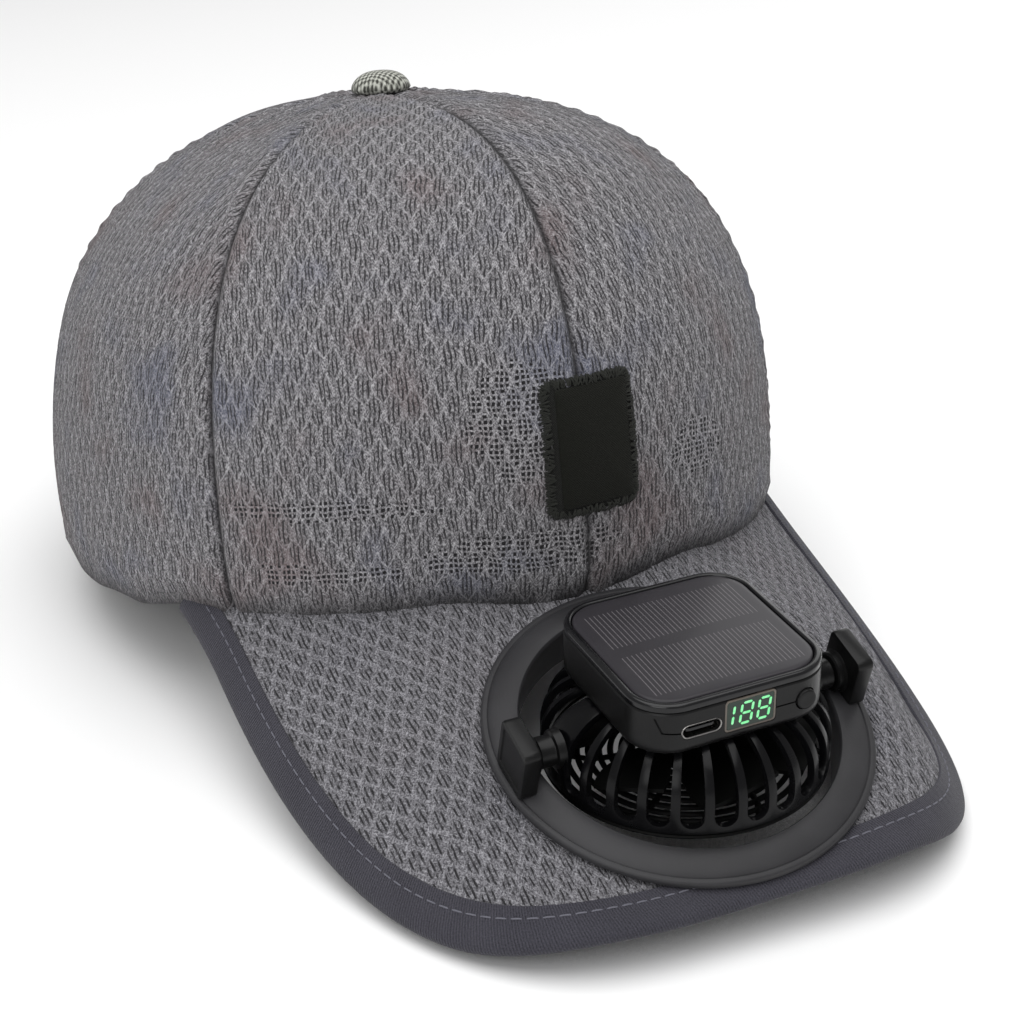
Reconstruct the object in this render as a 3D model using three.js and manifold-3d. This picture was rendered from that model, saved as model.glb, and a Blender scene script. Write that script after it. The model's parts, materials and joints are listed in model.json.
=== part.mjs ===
// Solar fan hat: a six-panel mesh cap whose bill carries a tilting fan under a solar box.
// Millimetres and degrees. In the hat's own frame +X is the wearer's left, -Y the front
// and +Z up. The finished hat lies as it would on a table, on its bill and its back hem.
import * as THREE from 'three';
import { mergeVertices } from 'three/addons/utils/BufferGeometryUtils.js';
import Module from 'manifold-3d';

const wasm = await Module();
wasm.setup();

// Head opening and crown
const HEAD_HALF_WIDTH = 87.7;
const HEAD_FRONT = 104.2;
const HEAD_BACK = 96.5;
const CROWN_HEIGHT = 114;
const CROWN_APEX_SHIFT = -4;
const CROWN_WALL = 1.5;
const BACK_HEM_HEIGHT = 5.8;
const SIDE_HEM_DIP = 4.5;
const HEM_TRIM = 2;
const FRONT_SEAM_ANGLE = 52;
const BACK_SEAM_ANGLE = 118;
const PANEL_TIP_RADIUS = 3;
const TOP_BUTTON_RADIUS = 7.3;
const TOP_BUTTON_HEIGHT = 5.2;
const TOP_BUTTON_RIM = 0.7;

// How the crown's profile curves on its side, front and back: the roundness of the plan
// against the height, and a swell of the middle height as a share of the radius
const CROWN_PROFILE = {
  side: { plan: 1.83, rise: 3.4, swell: 0 },
  front: { plan: 3.4, rise: 3.4, swell: 0.03 },
  back: { plan: 2.57, rise: 3.0, swell: 0.03 },
};

// Patch on the front seam
const PATCH_WIDTH = 20.6;
const PATCH_HEIGHT = 28.8;
const PATCH_THICKNESS = 1.2;
const PATCH_CORNER = 2.2;
const PATCH_LIFT = 46;
const PATCH_SIDE_SHIFT = 1.2;

// Bill: a flat board bent over a cylinder and pitched down
const BILL_PITCH = 27;
const BILL_BEND_RADIUS = 117.2;
const BILL_ROOT_HEIGHT = 14.5;
const BILL_HALF_WIDTH = 82.5;
const BILL_ROOT_HALF_WIDTH = 88.6;
const BILL_ROOT_BACK = 52;
const BILL_WIDEST_BACK = 21;
const BILL_THICKNESS = 3;
const BILL_EDGE_THICKNESS = 1;
const BINDING_WIDTH = 8.6;
const BINDING_WALL = 1;

// Exponents of the bill's rounded front
const BILL_SIDE_ROUND = 3.78;
const BILL_FRONT_ROUND = 2.36;

// Mounting ring, clamped through the bill between the crown and the bill's front edge
const RING_CROWN_GAP = 1.6;
const RING_EDGE_MARGIN = 2.5;
const RING_DROP = 0.5;
const RING_LEAN = 2.5;
const CAGE_CLEARANCE = 3.3;
const FLANGE_WIDTH = 7.7;
const RING_LIP = 1.6;
const RING_LIP_WIDTH = 1.2;
const RING_RISE = 1.5;
const COLLAR_WALL = 1.6;
const RETAINER_WIDTH = 5;
const RETAINER_THICKNESS = 1.5;
const SEAT_FADE = 24;

// Ears and the tilt axis, from the ring's centre
const AXIS_FORWARD = 1.2;
const AXIS_HEIGHT = 4.8;
const EAR_INSET = 1.2;
const EAR_THICKNESS = 3.8;
const EAR_LENGTH = 11.5;
const EAR_HEIGHT = 12.5;
const EAR_FORWARD = 2.2;
const EAR_CORNER = 1.6;
const EAR_BOSS_RADIUS = 4.2;
const EAR_BOSS_LENGTH = 1.8;
const SHAFT_RADIUS = 2.8;
const PIN_RADIUS = 2;
const PIN_DEPTH = 3.6;
const REST_TILT = -14.8;

// Fan cage, from the tilt axis
const CAGE_RADIUS = 29.2;
const CAGE_WALL = 1.4;
const CAGE_CROWN_RADIUS = 17;
const CAGE_TOP = 8.3;
const CAGE_SHOULDER = -3;
const CAGE_BOTTOM = -8.2;
const CAGE_SLOTS = 28;
const CAGE_RIB_SHARE = 0.27;
const CAGE_SLOT_BOTTOM = -6.9;
const CAGE_BOSS_RADIUS = 4;
const GUARD_THICKNESS = 1.1;
const GUARD_HUB_RADIUS = 6;
const GUARD_BAR = 1.4;
const GUARD_SPOKES = 6;
const GUARD_RINGS = 2;

// Motor and rotor
const MOTOR_RADIUS = 8;
const MOTOR_LENGTH = 5.6;
const MOTOR_SHAFT_RADIUS = 1;
const HUB_RADIUS = 8.5;
const HUB_LENGTH = 6.6;
const BLADE_COUNT = 7;
const BLADE_TIP_RADIUS = 26.3;
const BLADE_CHORD = 8;
const BLADE_THICKNESS = 1.1;
const BLADE_PITCH = 34;

// Solar box on top of the cage
const BOX_WIDTH = 41.8;
const BOX_FORWARD = 1.4;
const BOX_HEIGHT = 10.3;
const BOX_CORNER = 9;
const BOX_EDGE = 0.9;
const PANEL_MARGIN = 1.7;
const PANEL_THICKNESS = 1.6;
const PANEL_PROUD = 0.3;
const PORT_WIDTH = 9;
const PORT_HEIGHT = 3.3;
const PORT_DEPTH = 6;
const PORT_WALL = 0.45;
const PORT_TONGUE = 0.7;
const PORT_SIDE = -8.9;
const PORT_LIFT = 3.9;
const DISPLAY_WIDTH = 11;
const DISPLAY_HEIGHT = 7;
const DISPLAY_THICKNESS = 1;
const DISPLAY_CORNER = 0.8;
const DISPLAY_SIDE = 1.5;
const DISPLAY_LIFT = 4.8;
const POWER_RADIUS = 2.1;
const POWER_LENGTH = 2.2;
const POWER_PROUD = 0.5;
const POWER_TRAVEL = 0.4;
const POWER_SIDE = 13.7;
const POWER_LIFT = 4;

// Gap left between pieces that touch, and between the bill's cloth and what clamps it
const GAP = 0.3;
const SEAT_GAP = 0.5;

// How finely the round shapes are divided
const CROWN_STEP = 9;
const CROWN_ROWS = 9;
const HEAD_STEPS = 48;
const BILL_CELL = 16;
const OUTLINE_STEPS = 10;
const RING_STEPS = 32;
const SMALL_STEPS = 12;
const DOME_STEPS = 4;
const CORNER_STEPS = 3;
const SLOT_STEPS = 6;
const CAGE_BENDS = 3;

const rad = THREE.MathUtils.degToRad;
const { cos, sin, tan, sqrt, abs, max, min, PI } = Math;

// Solids: closed meshes go to the boolean library and come back

function solid(geometry) {
  const plain = geometry.index ? geometry.toNonIndexed() : geometry.clone();
  plain.deleteAttribute('normal');
  plain.deleteAttribute('uv');
  const merged = mergeVertices(plain, 1e-5);
  return new wasm.Manifold(new wasm.Mesh({
    numProp: 3,
    vertProperties: new Float32Array(merged.attributes.position.array),
    triVerts: new Uint32Array(merged.index.array),
  }));
}

function toGeometry(manifold) {
  const mesh = manifold.getMesh();
  const geometry = new THREE.BufferGeometry();
  geometry.setAttribute('position', new THREE.BufferAttribute(mesh.vertProperties, mesh.numProp));
  geometry.setIndex(new THREE.BufferAttribute(mesh.triVerts, 1));
  return geometry;
}

// A closed skin between two grids of points, with the same rows and columns
function gridSolid(front, back) {
  const rows = front.length;
  const columns = front[0].length;
  const layer = rows * columns;
  const points = [...front.flat(), ...back.flat()];
  const at = (side, row, column) => side * layer + row * columns + column;
  const index = [];
  const quad = (a, b, c, d) => index.push(a, b, c, a, c, d);
  for (let i = 0; i < rows - 1; i++) {
    for (let j = 0; j < columns - 1; j++) {
      quad(at(0, i, j), at(0, i, j + 1), at(0, i + 1, j + 1), at(0, i + 1, j));
      quad(at(1, i, j), at(1, i + 1, j), at(1, i + 1, j + 1), at(1, i, j + 1));
    }
  }
  for (let j = 0; j < columns - 1; j++) {
    quad(at(0, 0, j), at(1, 0, j), at(1, 0, j + 1), at(0, 0, j + 1));
    quad(at(0, rows - 1, j + 1), at(1, rows - 1, j + 1), at(1, rows - 1, j), at(0, rows - 1, j));
  }
  for (let i = 0; i < rows - 1; i++) {
    quad(at(0, i + 1, 0), at(1, i + 1, 0), at(1, i, 0), at(0, i, 0));
    quad(at(0, i, columns - 1), at(1, i, columns - 1), at(1, i + 1, columns - 1), at(0, i + 1, columns - 1));
  }
  if (signedVolume(points, index) < 0) {
    index.reverse();
  }
  const geometry = new THREE.BufferGeometry().setFromPoints(points);
  geometry.setIndex(index);
  return geometry;
}

function signedVolume(points, index) {
  let volume = 0;
  for (let k = 0; k < index.length; k += 3) {
    const [a, b, c] = [points[index[k]], points[index[k + 1]], points[index[k + 2]]];
    volume += a.dot(new THREE.Vector3().crossVectors(b, c)) / 6;
  }
  return volume;
}

// A shape in the plane of the first two axes, raised from one height to another
function prism(shape, low, high, steps = CORNER_STEPS) {
  const geometry = new THREE.ExtrudeGeometry(shape, {
    depth: high - low, bevelEnabled: false, curveSegments: steps,
  });
  return geometry.translate(0, 0, low);
}

// A shape of width and height, extruded towards -Y from the plane y = back
function forwardPrism(shape, back, length) {
  const geometry = new THREE.ExtrudeGeometry(shape, {
    depth: length, bevelEnabled: false, curveSegments: CORNER_STEPS,
  });
  return geometry.rotateX(PI / 2).translate(0, back, 0);
}

function turned(profile, steps = RING_STEPS) {
  const points = profile.map(([r, z]) => new THREE.Vector2(r, z));
  return new THREE.LatheGeometry(points, steps).rotateX(PI / 2);
}

function rod(radius, length, axis, steps = SMALL_STEPS) {
  const geometry = new THREE.CylinderGeometry(radius, radius, length, steps);
  if (axis === 'x') {
    geometry.rotateZ(PI / 2);
  } else if (axis === 'z') {
    geometry.rotateX(PI / 2);
  }
  return geometry;
}

function circle(radius) {
  return new THREE.Shape().absarc(0, 0, radius, 0, 2 * PI);
}

function roundedRect(width, height, corner) {
  const [x, y] = [width / 2, height / 2];
  const r = min(corner, x, y);
  const shape = new THREE.Shape();
  shape.moveTo(x, -y + r);
  shape.lineTo(x, y - r);
  shape.absarc(x - r, y - r, r, 0, PI / 2);
  shape.lineTo(-x + r, y);
  shape.absarc(-x + r, y - r, r, PI / 2, PI);
  shape.lineTo(-x, -y + r);
  shape.absarc(-x + r, -y + r, r, PI, 1.5 * PI);
  shape.lineTo(x - r, -y);
  shape.absarc(x - r, -y + r, r, 1.5 * PI, 2 * PI);
  return shape;
}

function smooth(low, high, value) {
  return THREE.MathUtils.smoothstep(value, low, high);
}

// Sizes of the ring and bill that follow from the cage and the ring
const boreRadius = CAGE_RADIUS + CAGE_CLEARANCE;
const ringRadius = boreRadius + FLANGE_WIDTH;
const ringForward = ringRadius + RING_CROWN_GAP;
const billLength = ringForward + ringRadius + RING_EDGE_MARGIN;

// Bill surface: x across, v forward from the crown's front, height off the board's plane

const pitch = rad(BILL_PITCH);
const forward = new THREE.Vector3(0, -cos(pitch), -sin(pitch));
const upward = new THREE.Vector3(0, -sin(pitch), cos(pitch));
const billRoot = new THREE.Vector3(0, -HEAD_FRONT, BILL_ROOT_HEIGHT);
const bindingProud = BINDING_WALL + GAP + (BILL_EDGE_THICKNESS - BILL_THICKNESS) / 2;
const ringAboveBill = RING_LIP + SEAT_GAP + bindingProud;

function billHeight(x, v) {
  const safe = min(abs(x), 0.98 * BILL_BEND_RADIUS);
  const bent = sqrt(BILL_BEND_RADIUS ** 2 - safe ** 2) - BILL_BEND_RADIUS;
  const seat = -RING_DROP - ringAboveBill / cos(rad(RING_LEAN)) + x * tan(rad(RING_LEAN));
  const reach = Math.hypot(x, v - ringForward);
  const flat = 1 - smooth(ringRadius + 1, ringRadius + SEAT_FADE, reach);
  return THREE.MathUtils.lerp(bent, seat, flat);
}

function billPoint(x, v) {
  return billRoot.clone()
    .addScaledVector(new THREE.Vector3(1, 0, 0), x)
    .addScaledVector(forward, v)
    .addScaledVector(upward, billHeight(x, v));
}

function billNormal(x, v) {
  const step = 0.5;
  const across = billPoint(x + step, v).sub(billPoint(x - step, v));
  const along = billPoint(x, v + step).sub(billPoint(x, v - step));
  return along.cross(across).normalize();
}

// Height of the bill's top surface over a point of the hat's plan
function billTopAt(x, y) {
  let height = 0;
  let v = 0;
  for (let pass = 0; pass < 8; pass++) {
    v = (-HEAD_FRONT - y - height * sin(pitch)) / cos(pitch);
    height = billHeight(x, v);
  }
  return BILL_ROOT_HEIGHT - v * sin(pitch) + height * cos(pitch);
}

// Crown surface: an angle round the head from the front, and a rise from hem to apex

function headPlan(theta, inset = 0) {
  const depth = cos(theta) >= 0 ? HEAD_FRONT : HEAD_BACK;
  return new THREE.Vector2(
    (HEAD_HALF_WIDTH - inset) * sin(theta),
    -(depth - inset) * cos(theta),
  );
}

// The front hem first reaches a little into the bill, which then trims it to its surface
function hemHeight(theta, plan) {
  const overBill = smooth(-0.1, 0.4, cos(theta));
  const reach = HEM_TRIM * smooth(0.4, 0.46, cos(theta));
  const top = billTopAt(plan.x, plan.y) + GAP - reach;
  const dip = SIDE_HEM_DIP * smooth(-0.1, 0.15, cos(theta)) * (1 - smooth(0.3, 0.5, cos(theta)));
  return THREE.MathUtils.lerp(BACK_HEM_HEIGHT, top, overBill) - dip;
}

function profileAt(theta, key) {
  const front = max(cos(theta), 0) ** 1.5;
  const back = max(-cos(theta), 0) ** 1.5;
  const { side: s, front: f, back: b } = CROWN_PROFILE;
  return s[key] * (1 - front - back) + f[key] * front + b[key] * back;
}

// Turn from hem to apex that leaves a given radius open round the apex
function turnAtRadius(theta, radius) {
  const share = radius / headPlan(theta).length();
  return Math.acos(share ** (profileAt(theta, 'plan') / 2));
}

function crownPoint(theta, turn) {
  const rise = sin(turn) ** (2 / profileAt(theta, 'rise'));
  const swell = 1 + 4 * profileAt(theta, 'swell') * rise * (1 - rise);
  const share = cos(turn) ** (2 / profileAt(theta, 'plan')) * swell;
  const plan = headPlan(theta);
  const hem = hemHeight(theta, plan);
  return new THREE.Vector3(
    plan.x * share,
    plan.y * share + CROWN_APEX_SHIFT * (1 - share),
    hem + (CROWN_HEIGHT - hem) * rise,
  );
}

function crownNormal(theta, turn) {
  const step = 0.004;
  const middle = THREE.MathUtils.clamp(turn, 6 * step, PI / 2 - 1.2 * step);
  const round = crownPoint(theta + step, middle).sub(crownPoint(theta - step, middle));
  const up = crownPoint(theta, middle + step).sub(crownPoint(theta, middle - step));
  return round.cross(up).normalize();
}

// One cloth panel between two seams, drawn in from each by half the gap
function crownPanel(from, to) {
  const columns = Math.ceil((to - from) / CROWN_STEP) + 1;
  const outer = [];
  const inner = [];
  for (let i = 0; i <= CROWN_ROWS; i++) {
    const share = i / CROWN_ROWS;
    const outerRow = [];
    const innerRow = [];
    for (let j = 0; j < columns; j++) {
      const nominal = rad(THREE.MathUtils.lerp(from, to, j / (columns - 1)));
      const turn = turnAtRadius(nominal, PANEL_TIP_RADIUS) * share;
      const radius = headPlan(nominal).length() * cos(turn) ** (2 / profileAt(nominal, 'plan'));
      const draw = (GAP / 2 / radius) * (1 - (2 * j) / (columns - 1));
      const theta = nominal + draw;
      const point = crownPoint(theta, turn);
      const inside = point.clone().addScaledVector(crownNormal(theta, turn), -CROWN_WALL);
      if (i === 0) {
        inside.z = hemHeight(theta, new THREE.Vector2(inside.x, inside.y));
      }
      outerRow.push(point);
      innerRow.push(inside);
    }
    outer.push(outerRow);
    inner.push(innerRow);
  }
  const panel = gridSolid(outer, inner);
  const overBill = min(abs(from), abs(to)) < BACK_SEAM_ANGLE;
  return overBill ? toGeometry(solid(panel).subtract(billLayer(-GAP, 2 * BILL_THICKNESS))) : panel;
}

// Cloth-covered button: a low dome on a short upright rim
function topButton() {
  const profile = [[0, 0], [TOP_BUTTON_RADIUS - TOP_BUTTON_RIM, 0]];
  for (let i = 0; i < DOME_STEPS; i++) {
    const turn = (i / DOME_STEPS) * (PI / 2);
    const rise = (TOP_BUTTON_HEIGHT - TOP_BUTTON_RIM) * sin(turn);
    profile.push([TOP_BUTTON_RADIUS * cos(turn), TOP_BUTTON_RIM + rise]);
  }
  profile.push([0, TOP_BUTTON_HEIGHT]);
  return turned(profile, SMALL_STEPS).translate(0, CROWN_APEX_SHIFT, CROWN_HEIGHT + GAP);
}

// Patch: a plate that follows the crown, cut to a rounded rectangle seen from the front
function frontPatch() {
  const halfSpan = PATCH_WIDTH / HEAD_HALF_WIDTH;
  const centre = PATCH_SIDE_SHIFT / HEAD_HALF_WIDTH;
  const hem = hemHeight(0, headPlan(0));
  const riseAt = (z) => THREE.MathUtils.clamp((z - hem) / (CROWN_HEIGHT - hem), 0, 1);
  const turnAt = (z) => Math.asin(riseAt(z) ** (profileAt(0, 'rise') / 2));
  const low = turnAt(PATCH_LIFT - 0.6 * PATCH_HEIGHT);
  const high = turnAt(PATCH_LIFT + 0.6 * PATCH_HEIGHT);
  const rows = 4;
  const face = [];
  const backing = [];
  for (let i = 0; i <= rows; i++) {
    const turn = THREE.MathUtils.lerp(low, high, i / rows);
    const along = [-1, -0.5, 0, 0.5, 1].map((side) => centre + side * halfSpan);
    const offset = (distance) => along.map((theta) => crownPoint(theta, turn)
      .addScaledVector(crownNormal(theta, turn), distance));
    face.push(offset(GAP + PATCH_THICKNESS));
    backing.push(offset(GAP));
  }
  const outline = prism(roundedRect(PATCH_WIDTH, PATCH_HEIGHT, PATCH_CORNER), 0, HEAD_FRONT + billLength)
    .rotateX(PI / 2)
    .translate(PATCH_SIDE_SHIFT, 0, PATCH_LIFT);
  return toGeometry(solid(gridSolid(face, backing)).intersect(solid(outline)));
}

// Bill outline, drawn on the flat board: u across and v forward

function billOutline(inset) {
  const half = [];
  const rootSteps = OUTLINE_STEPS / 2;
  for (let i = 0; i < rootSteps; i++) {
    const share = i / rootSteps;
    const width = THREE.MathUtils.lerp(BILL_HALF_WIDTH, BILL_ROOT_HALF_WIDTH, (1 - share) ** 2);
    half.push([width, THREE.MathUtils.lerp(-BILL_ROOT_BACK, -BILL_WIDEST_BACK, share)]);
  }
  for (let i = 0; i <= OUTLINE_STEPS; i++) {
    const turn = (i / OUTLINE_STEPS) * (PI / 2);
    half.push([
      BILL_HALF_WIDTH * max(cos(turn), 0) ** (2 / BILL_SIDE_ROUND),
      -BILL_WIDEST_BACK + (billLength + BILL_WIDEST_BACK) * sin(turn) ** (2 / BILL_FRONT_ROUND),
    ]);
  }
  half[half.length - 1][0] = 0;
  const whole = [...half, ...half.slice(0, -1).reverse().map(([u, v]) => [-u, v])];
  return whole.map(([u, v], k) => {
    const [u0, v0] = whole[max(k - 1, 0)];
    const [u1, v1] = whole[min(k + 1, whole.length - 1)];
    const length = Math.hypot(u1 - u0, v1 - v0);
    return [u - (inset * (v1 - v0)) / length, v + (inset * (u1 - u0)) / length];
  });
}

function billPrism(inset) {
  const shape = new THREE.Shape();
  const points = billOutline(inset).map(([u, v]) => [BILL_BEND_RADIUS * sin(u / BILL_BEND_RADIUS), -v]);
  const outlineBack = 2 * BILL_ROOT_BACK;
  shape.moveTo(points[0][0], outlineBack);
  points.forEach(([x, y]) => shape.lineTo(x, y));
  shape.lineTo(points[points.length - 1][0], outlineBack);
  const geometry = prism(shape, -BILL_BEND_RADIUS, BILL_BEND_RADIUS);
  return solid(geometry.rotateX(pitch).translate(billRoot.x, billRoot.y, billRoot.z));
}

// A layer of the bill between two depths below its top surface
function billLayer(top, bottom) {
  const halfWidth = BILL_BEND_RADIUS * sin(BILL_ROOT_HALF_WIDTH / BILL_BEND_RADIUS) + 2;
  const across = Math.ceil(halfWidth / BILL_CELL) * 2;
  const along = Math.ceil((billLength + BILL_ROOT_BACK) / BILL_CELL);
  const grid = (depth) => Array.from({ length: along + 1 }, (_, i) => (
    Array.from({ length: across + 1 }, (_, j) => {
      const v = THREE.MathUtils.lerp(-BILL_ROOT_BACK, billLength + 2, i / along);
      const x = THREE.MathUtils.lerp(-halfWidth, halfWidth, j / across);
      return billPoint(x, v).addScaledVector(billNormal(x, v), -depth);
    })
  ));
  return solid(gridSolid(grid(top), grid(bottom)));
}

// What lies inside the head opening, grown or shrunk by an inset
function headOpening(inset) {
  const points = [];
  for (let i = 0; i < HEAD_STEPS; i++) {
    points.push(headPlan((i / HEAD_STEPS) * 2 * PI, inset));
  }
  return solid(prism(new THREE.Shape(points), -CROWN_HEIGHT, CROWN_HEIGHT));
}

// Places a shape of the ring's frame in the hat's frame
const ringPlace = new THREE.Matrix4();
ringPlace.makeRotationFromEuler(new THREE.Euler(pitch, -rad(RING_LEAN), 0, 'XYZ'));
ringPlace.setPosition(billRoot.clone()
  .addScaledVector(forward, ringForward)
  .addScaledVector(upward, -RING_DROP));

const collarRadius = boreRadius + COLLAR_WALL;
const edgeTop = (BILL_THICKNESS - BILL_EDGE_THICKNESS) / 2;
const edgeBottom = edgeTop + BILL_EDGE_THICKNESS;
const retainerTop = -ringAboveBill - BILL_THICKNESS - bindingProud - SEAT_GAP;
const retainerInner = collarRadius + GAP;
const retainerOuter = retainerInner + RETAINER_WIDTH;

// The room of the collar and of the two clamping rings, which press the cloth flat
function clampRoom() {
  const hole = prism(circle(retainerInner), -CROWN_HEIGHT / 2, CROWN_HEIGHT / 2, RING_STEPS / 2);
  const above = prism(circle(ringRadius + GAP), -RING_LIP - GAP, CROWN_HEIGHT / 2, RING_STEPS / 2);
  const below = prism(circle(retainerOuter + GAP), -CROWN_HEIGHT / 2, retainerTop + GAP, RING_STEPS / 2);
  return wasm.Manifold.union([hole, above, below].map((room) => solid(room.applyMatrix4(ringPlace))));
}

function bill() {
  const field = billLayer(0, BILL_THICKNESS).intersect(billPrism(BINDING_WIDTH + GAP));
  const edge = billLayer(edgeTop, edgeBottom).intersect(billPrism(BINDING_WALL + GAP));
  return toGeometry(field.add(edge)
    .subtract(clampRoom())
    .subtract(headOpening(CROWN_WALL)));
}

function billBinding() {
  const outside = edgeTop - GAP - BINDING_WALL;
  const band = billLayer(outside, BILL_THICKNESS - outside).intersect(billPrism(0));
  const pocket = billLayer(edgeTop - GAP, edgeBottom + GAP).intersect(billPrism(BINDING_WALL));
  return toGeometry(band
    .subtract(billPrism(BINDING_WIDTH))
    .subtract(pocket)
    .subtract(clampRoom())
    .subtract(headOpening(-GAP)));
}

// Mounting ring: a sloping flange, a collar through the bill, and two ears for the pins

const collarBottom = retainerTop - RETAINER_THICKNESS - GAP;
const earInner = ringRadius - EAR_INSET - EAR_THICKNESS;
const bossEnd = earInner - EAR_BOSS_LENGTH;

function fanRing() {
  let ring = solid(turned([
    [boreRadius, collarBottom],
    [collarRadius, collarBottom],
    [collarRadius, -RING_LIP],
    [ringRadius, -RING_LIP],
    [ringRadius, -0.4 * RING_LIP],
    [ringRadius - RING_LIP_WIDTH, 0],
    [collarRadius - 0.5 * COLLAR_WALL, RING_RISE],
    [boreRadius, 0.6 * RING_RISE],
    [boreRadius, collarBottom],
  ]));
  for (const side of [-1, 1]) {
    const ear = prism(roundedRect(EAR_HEIGHT, EAR_LENGTH, EAR_CORNER), -EAR_THICKNESS / 2, EAR_THICKNESS / 2)
      .rotateY(PI / 2)
      .translate(side * (earInner + EAR_THICKNESS / 2), -EAR_FORWARD, EAR_HEIGHT / 2);
    const boss = rod(EAR_BOSS_RADIUS, EAR_BOSS_LENGTH + 1, 'x')
      .translate(side * (bossEnd + (EAR_BOSS_LENGTH + 1) / 2), -AXIS_FORWARD, AXIS_HEIGHT);
    const bore = rod(PIN_RADIUS + GAP, PIN_DEPTH + GAP, 'x')
      .translate(side * (bossEnd + (PIN_DEPTH + GAP) / 2), -AXIS_FORWARD, AXIS_HEIGHT);
    ring = ring.add(solid(ear)).add(solid(boss)).subtract(solid(bore));
  }
  return toGeometry(ring);
}

function retainingRing() {
  const low = retainerTop - RETAINER_THICKNESS;
  return turned([
    [retainerInner, low], [retainerOuter, low], [retainerOuter, retainerTop],
    [retainerInner, retainerTop], [retainerInner, low],
  ]);
}

// Fan unit: its origin is the middle of the tilt axis, +Z is square to the solar panel

const boxBottom = CAGE_TOP + GAP;
const boxTop = boxBottom + BOX_HEIGHT;
const boxFront = -BOX_WIDTH / 2;

function fanCage() {
  const outside = [[0, CAGE_TOP]];
  const inside = [[0, CAGE_TOP - CAGE_WALL]];
  for (let i = 0; i <= CAGE_BENDS; i++) {
    const turn = (i / CAGE_BENDS) * (PI / 2);
    const reach = CAGE_RADIUS - CAGE_CROWN_RADIUS;
    const rise = CAGE_TOP - CAGE_SHOULDER;
    outside.push([CAGE_CROWN_RADIUS + reach * sin(turn), CAGE_SHOULDER + rise * cos(turn)]);
    inside.push([
      CAGE_CROWN_RADIUS + (reach - CAGE_WALL) * sin(turn),
      CAGE_SHOULDER + (rise - CAGE_WALL) * cos(turn),
    ]);
  }
  outside.push([CAGE_RADIUS, CAGE_BOTTOM]);
  inside.push([CAGE_RADIUS - CAGE_WALL, CAGE_BOTTOM]);
  const pitchAngle = (2 * PI) / CAGE_SLOTS;
  const shell = turned([...inside, ...outside.reverse()], CAGE_SLOTS).rotateZ(pitchAngle / 2);
  let cage = solid(shell);
  const half = tan((pitchAngle * (1 - CAGE_RIB_SHARE)) / 2);
  const near = CAGE_CROWN_RADIUS + CAGE_WALL;
  const far = CAGE_RADIUS + CAGE_WALL;
  const roundHeight = CAGE_SLOT_BOTTOM + half * CAGE_RADIUS;
  const cutters = [];
  for (let k = 0; k < CAGE_SLOTS; k++) {
    const angle = k * pitchAngle;
    const atBoss = CAGE_RADIUS * abs(sin(angle)) < CAGE_BOSS_RADIUS;
    if (atBoss) {
      continue;
    }
    const round = new THREE.CylinderGeometry(half * far, half * near, far - near, SLOT_STEPS)
      .rotateZ(-PI / 2)
      .translate((near + far) / 2, 0, roundHeight);
    const wedge = wedgeBox(near, far, half, roundHeight, CAGE_TOP + CAGE_WALL);
    cutters.push(solid(round.rotateZ(angle)), solid(wedge.rotateZ(angle)));
  }
  cage = cage.subtract(wasm.Manifold.union(cutters));

  const inner = CAGE_RADIUS - CAGE_WALL;
  for (const side of [-1, 1]) {
    const boss = rod(CAGE_BOSS_RADIUS, 2, 'x').translate(side * (CAGE_RADIUS - 0.6), 0, 0);
    const shaft = rod(SHAFT_RADIUS, bossEnd - GAP - inner, 'x')
      .translate((side * (bossEnd - GAP + inner)) / 2, 0, 0);
    const pin = rod(PIN_RADIUS, PIN_DEPTH + GAP, 'x')
      .translate(side * (bossEnd - GAP + (PIN_DEPTH + GAP) / 2), 0, 0);
    cage = cage.add(solid(boss)).add(solid(shaft)).add(solid(pin));
  }
  return toGeometry(cage);
}

// A box along +X whose width grows with its distance from the axis
function wedgeBox(near, far, slope, low, high) {
  const section = (x) => [
    [new THREE.Vector3(x, -x * slope, low), new THREE.Vector3(x, x * slope, low)],
    [new THREE.Vector3(x, -x * slope, high), new THREE.Vector3(x, x * slope, high)],
  ];
  return gridSolid(section(near), section(far));
}

function sector(inner, outer, middle, width) {
  const hole = new THREE.Path();
  const insideHalf = width / 2 - GUARD_BAR / 2 / inner;
  const outsideHalf = width / 2 - GUARD_BAR / 2 / outer;
  hole.absarc(0, 0, outer, middle - outsideHalf, middle + outsideHalf, false);
  hole.absarc(0, 0, inner, middle + insideHalf, middle - insideHalf, true);
  hole.closePath();
  return hole;
}

// Lower guard: a plain disc with a hub, rings and spokes
function lowerGuard() {
  const shape = new THREE.Shape();
  const width = (2 * PI) / GUARD_SPOKES;
  for (let k = 0; k < GUARD_SPOKES; k++) {
    shape.absarc(0, 0, CAGE_RADIUS, k * width, (k + 1) * width);
  }
  const open = CAGE_RADIUS - CAGE_WALL - GUARD_HUB_RADIUS;
  const band = (open - (GUARD_RINGS - 1) * GUARD_BAR) / GUARD_RINGS;
  for (let ring = 0; ring < GUARD_RINGS; ring++) {
    const inner = GUARD_HUB_RADIUS + ring * (band + GUARD_BAR);
    for (let k = 0; k < GUARD_SPOKES; k++) {
      shape.holes.push(sector(inner, inner + band, (k + 0.5) * width, width));
    }
  }
  const top = CAGE_BOTTOM - GAP;
  return new THREE.ExtrudeGeometry(shape, {
    depth: GUARD_THICKNESS, bevelEnabled: false, curveSegments: 2,
  }).translate(0, 0, top - GUARD_THICKNESS);
}

const motorTop = CAGE_TOP - CAGE_WALL - GAP;
const motorBottom = motorTop - MOTOR_LENGTH;
const hubTop = motorBottom - GAP;
const hubBottom = hubTop - HUB_LENGTH;

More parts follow.
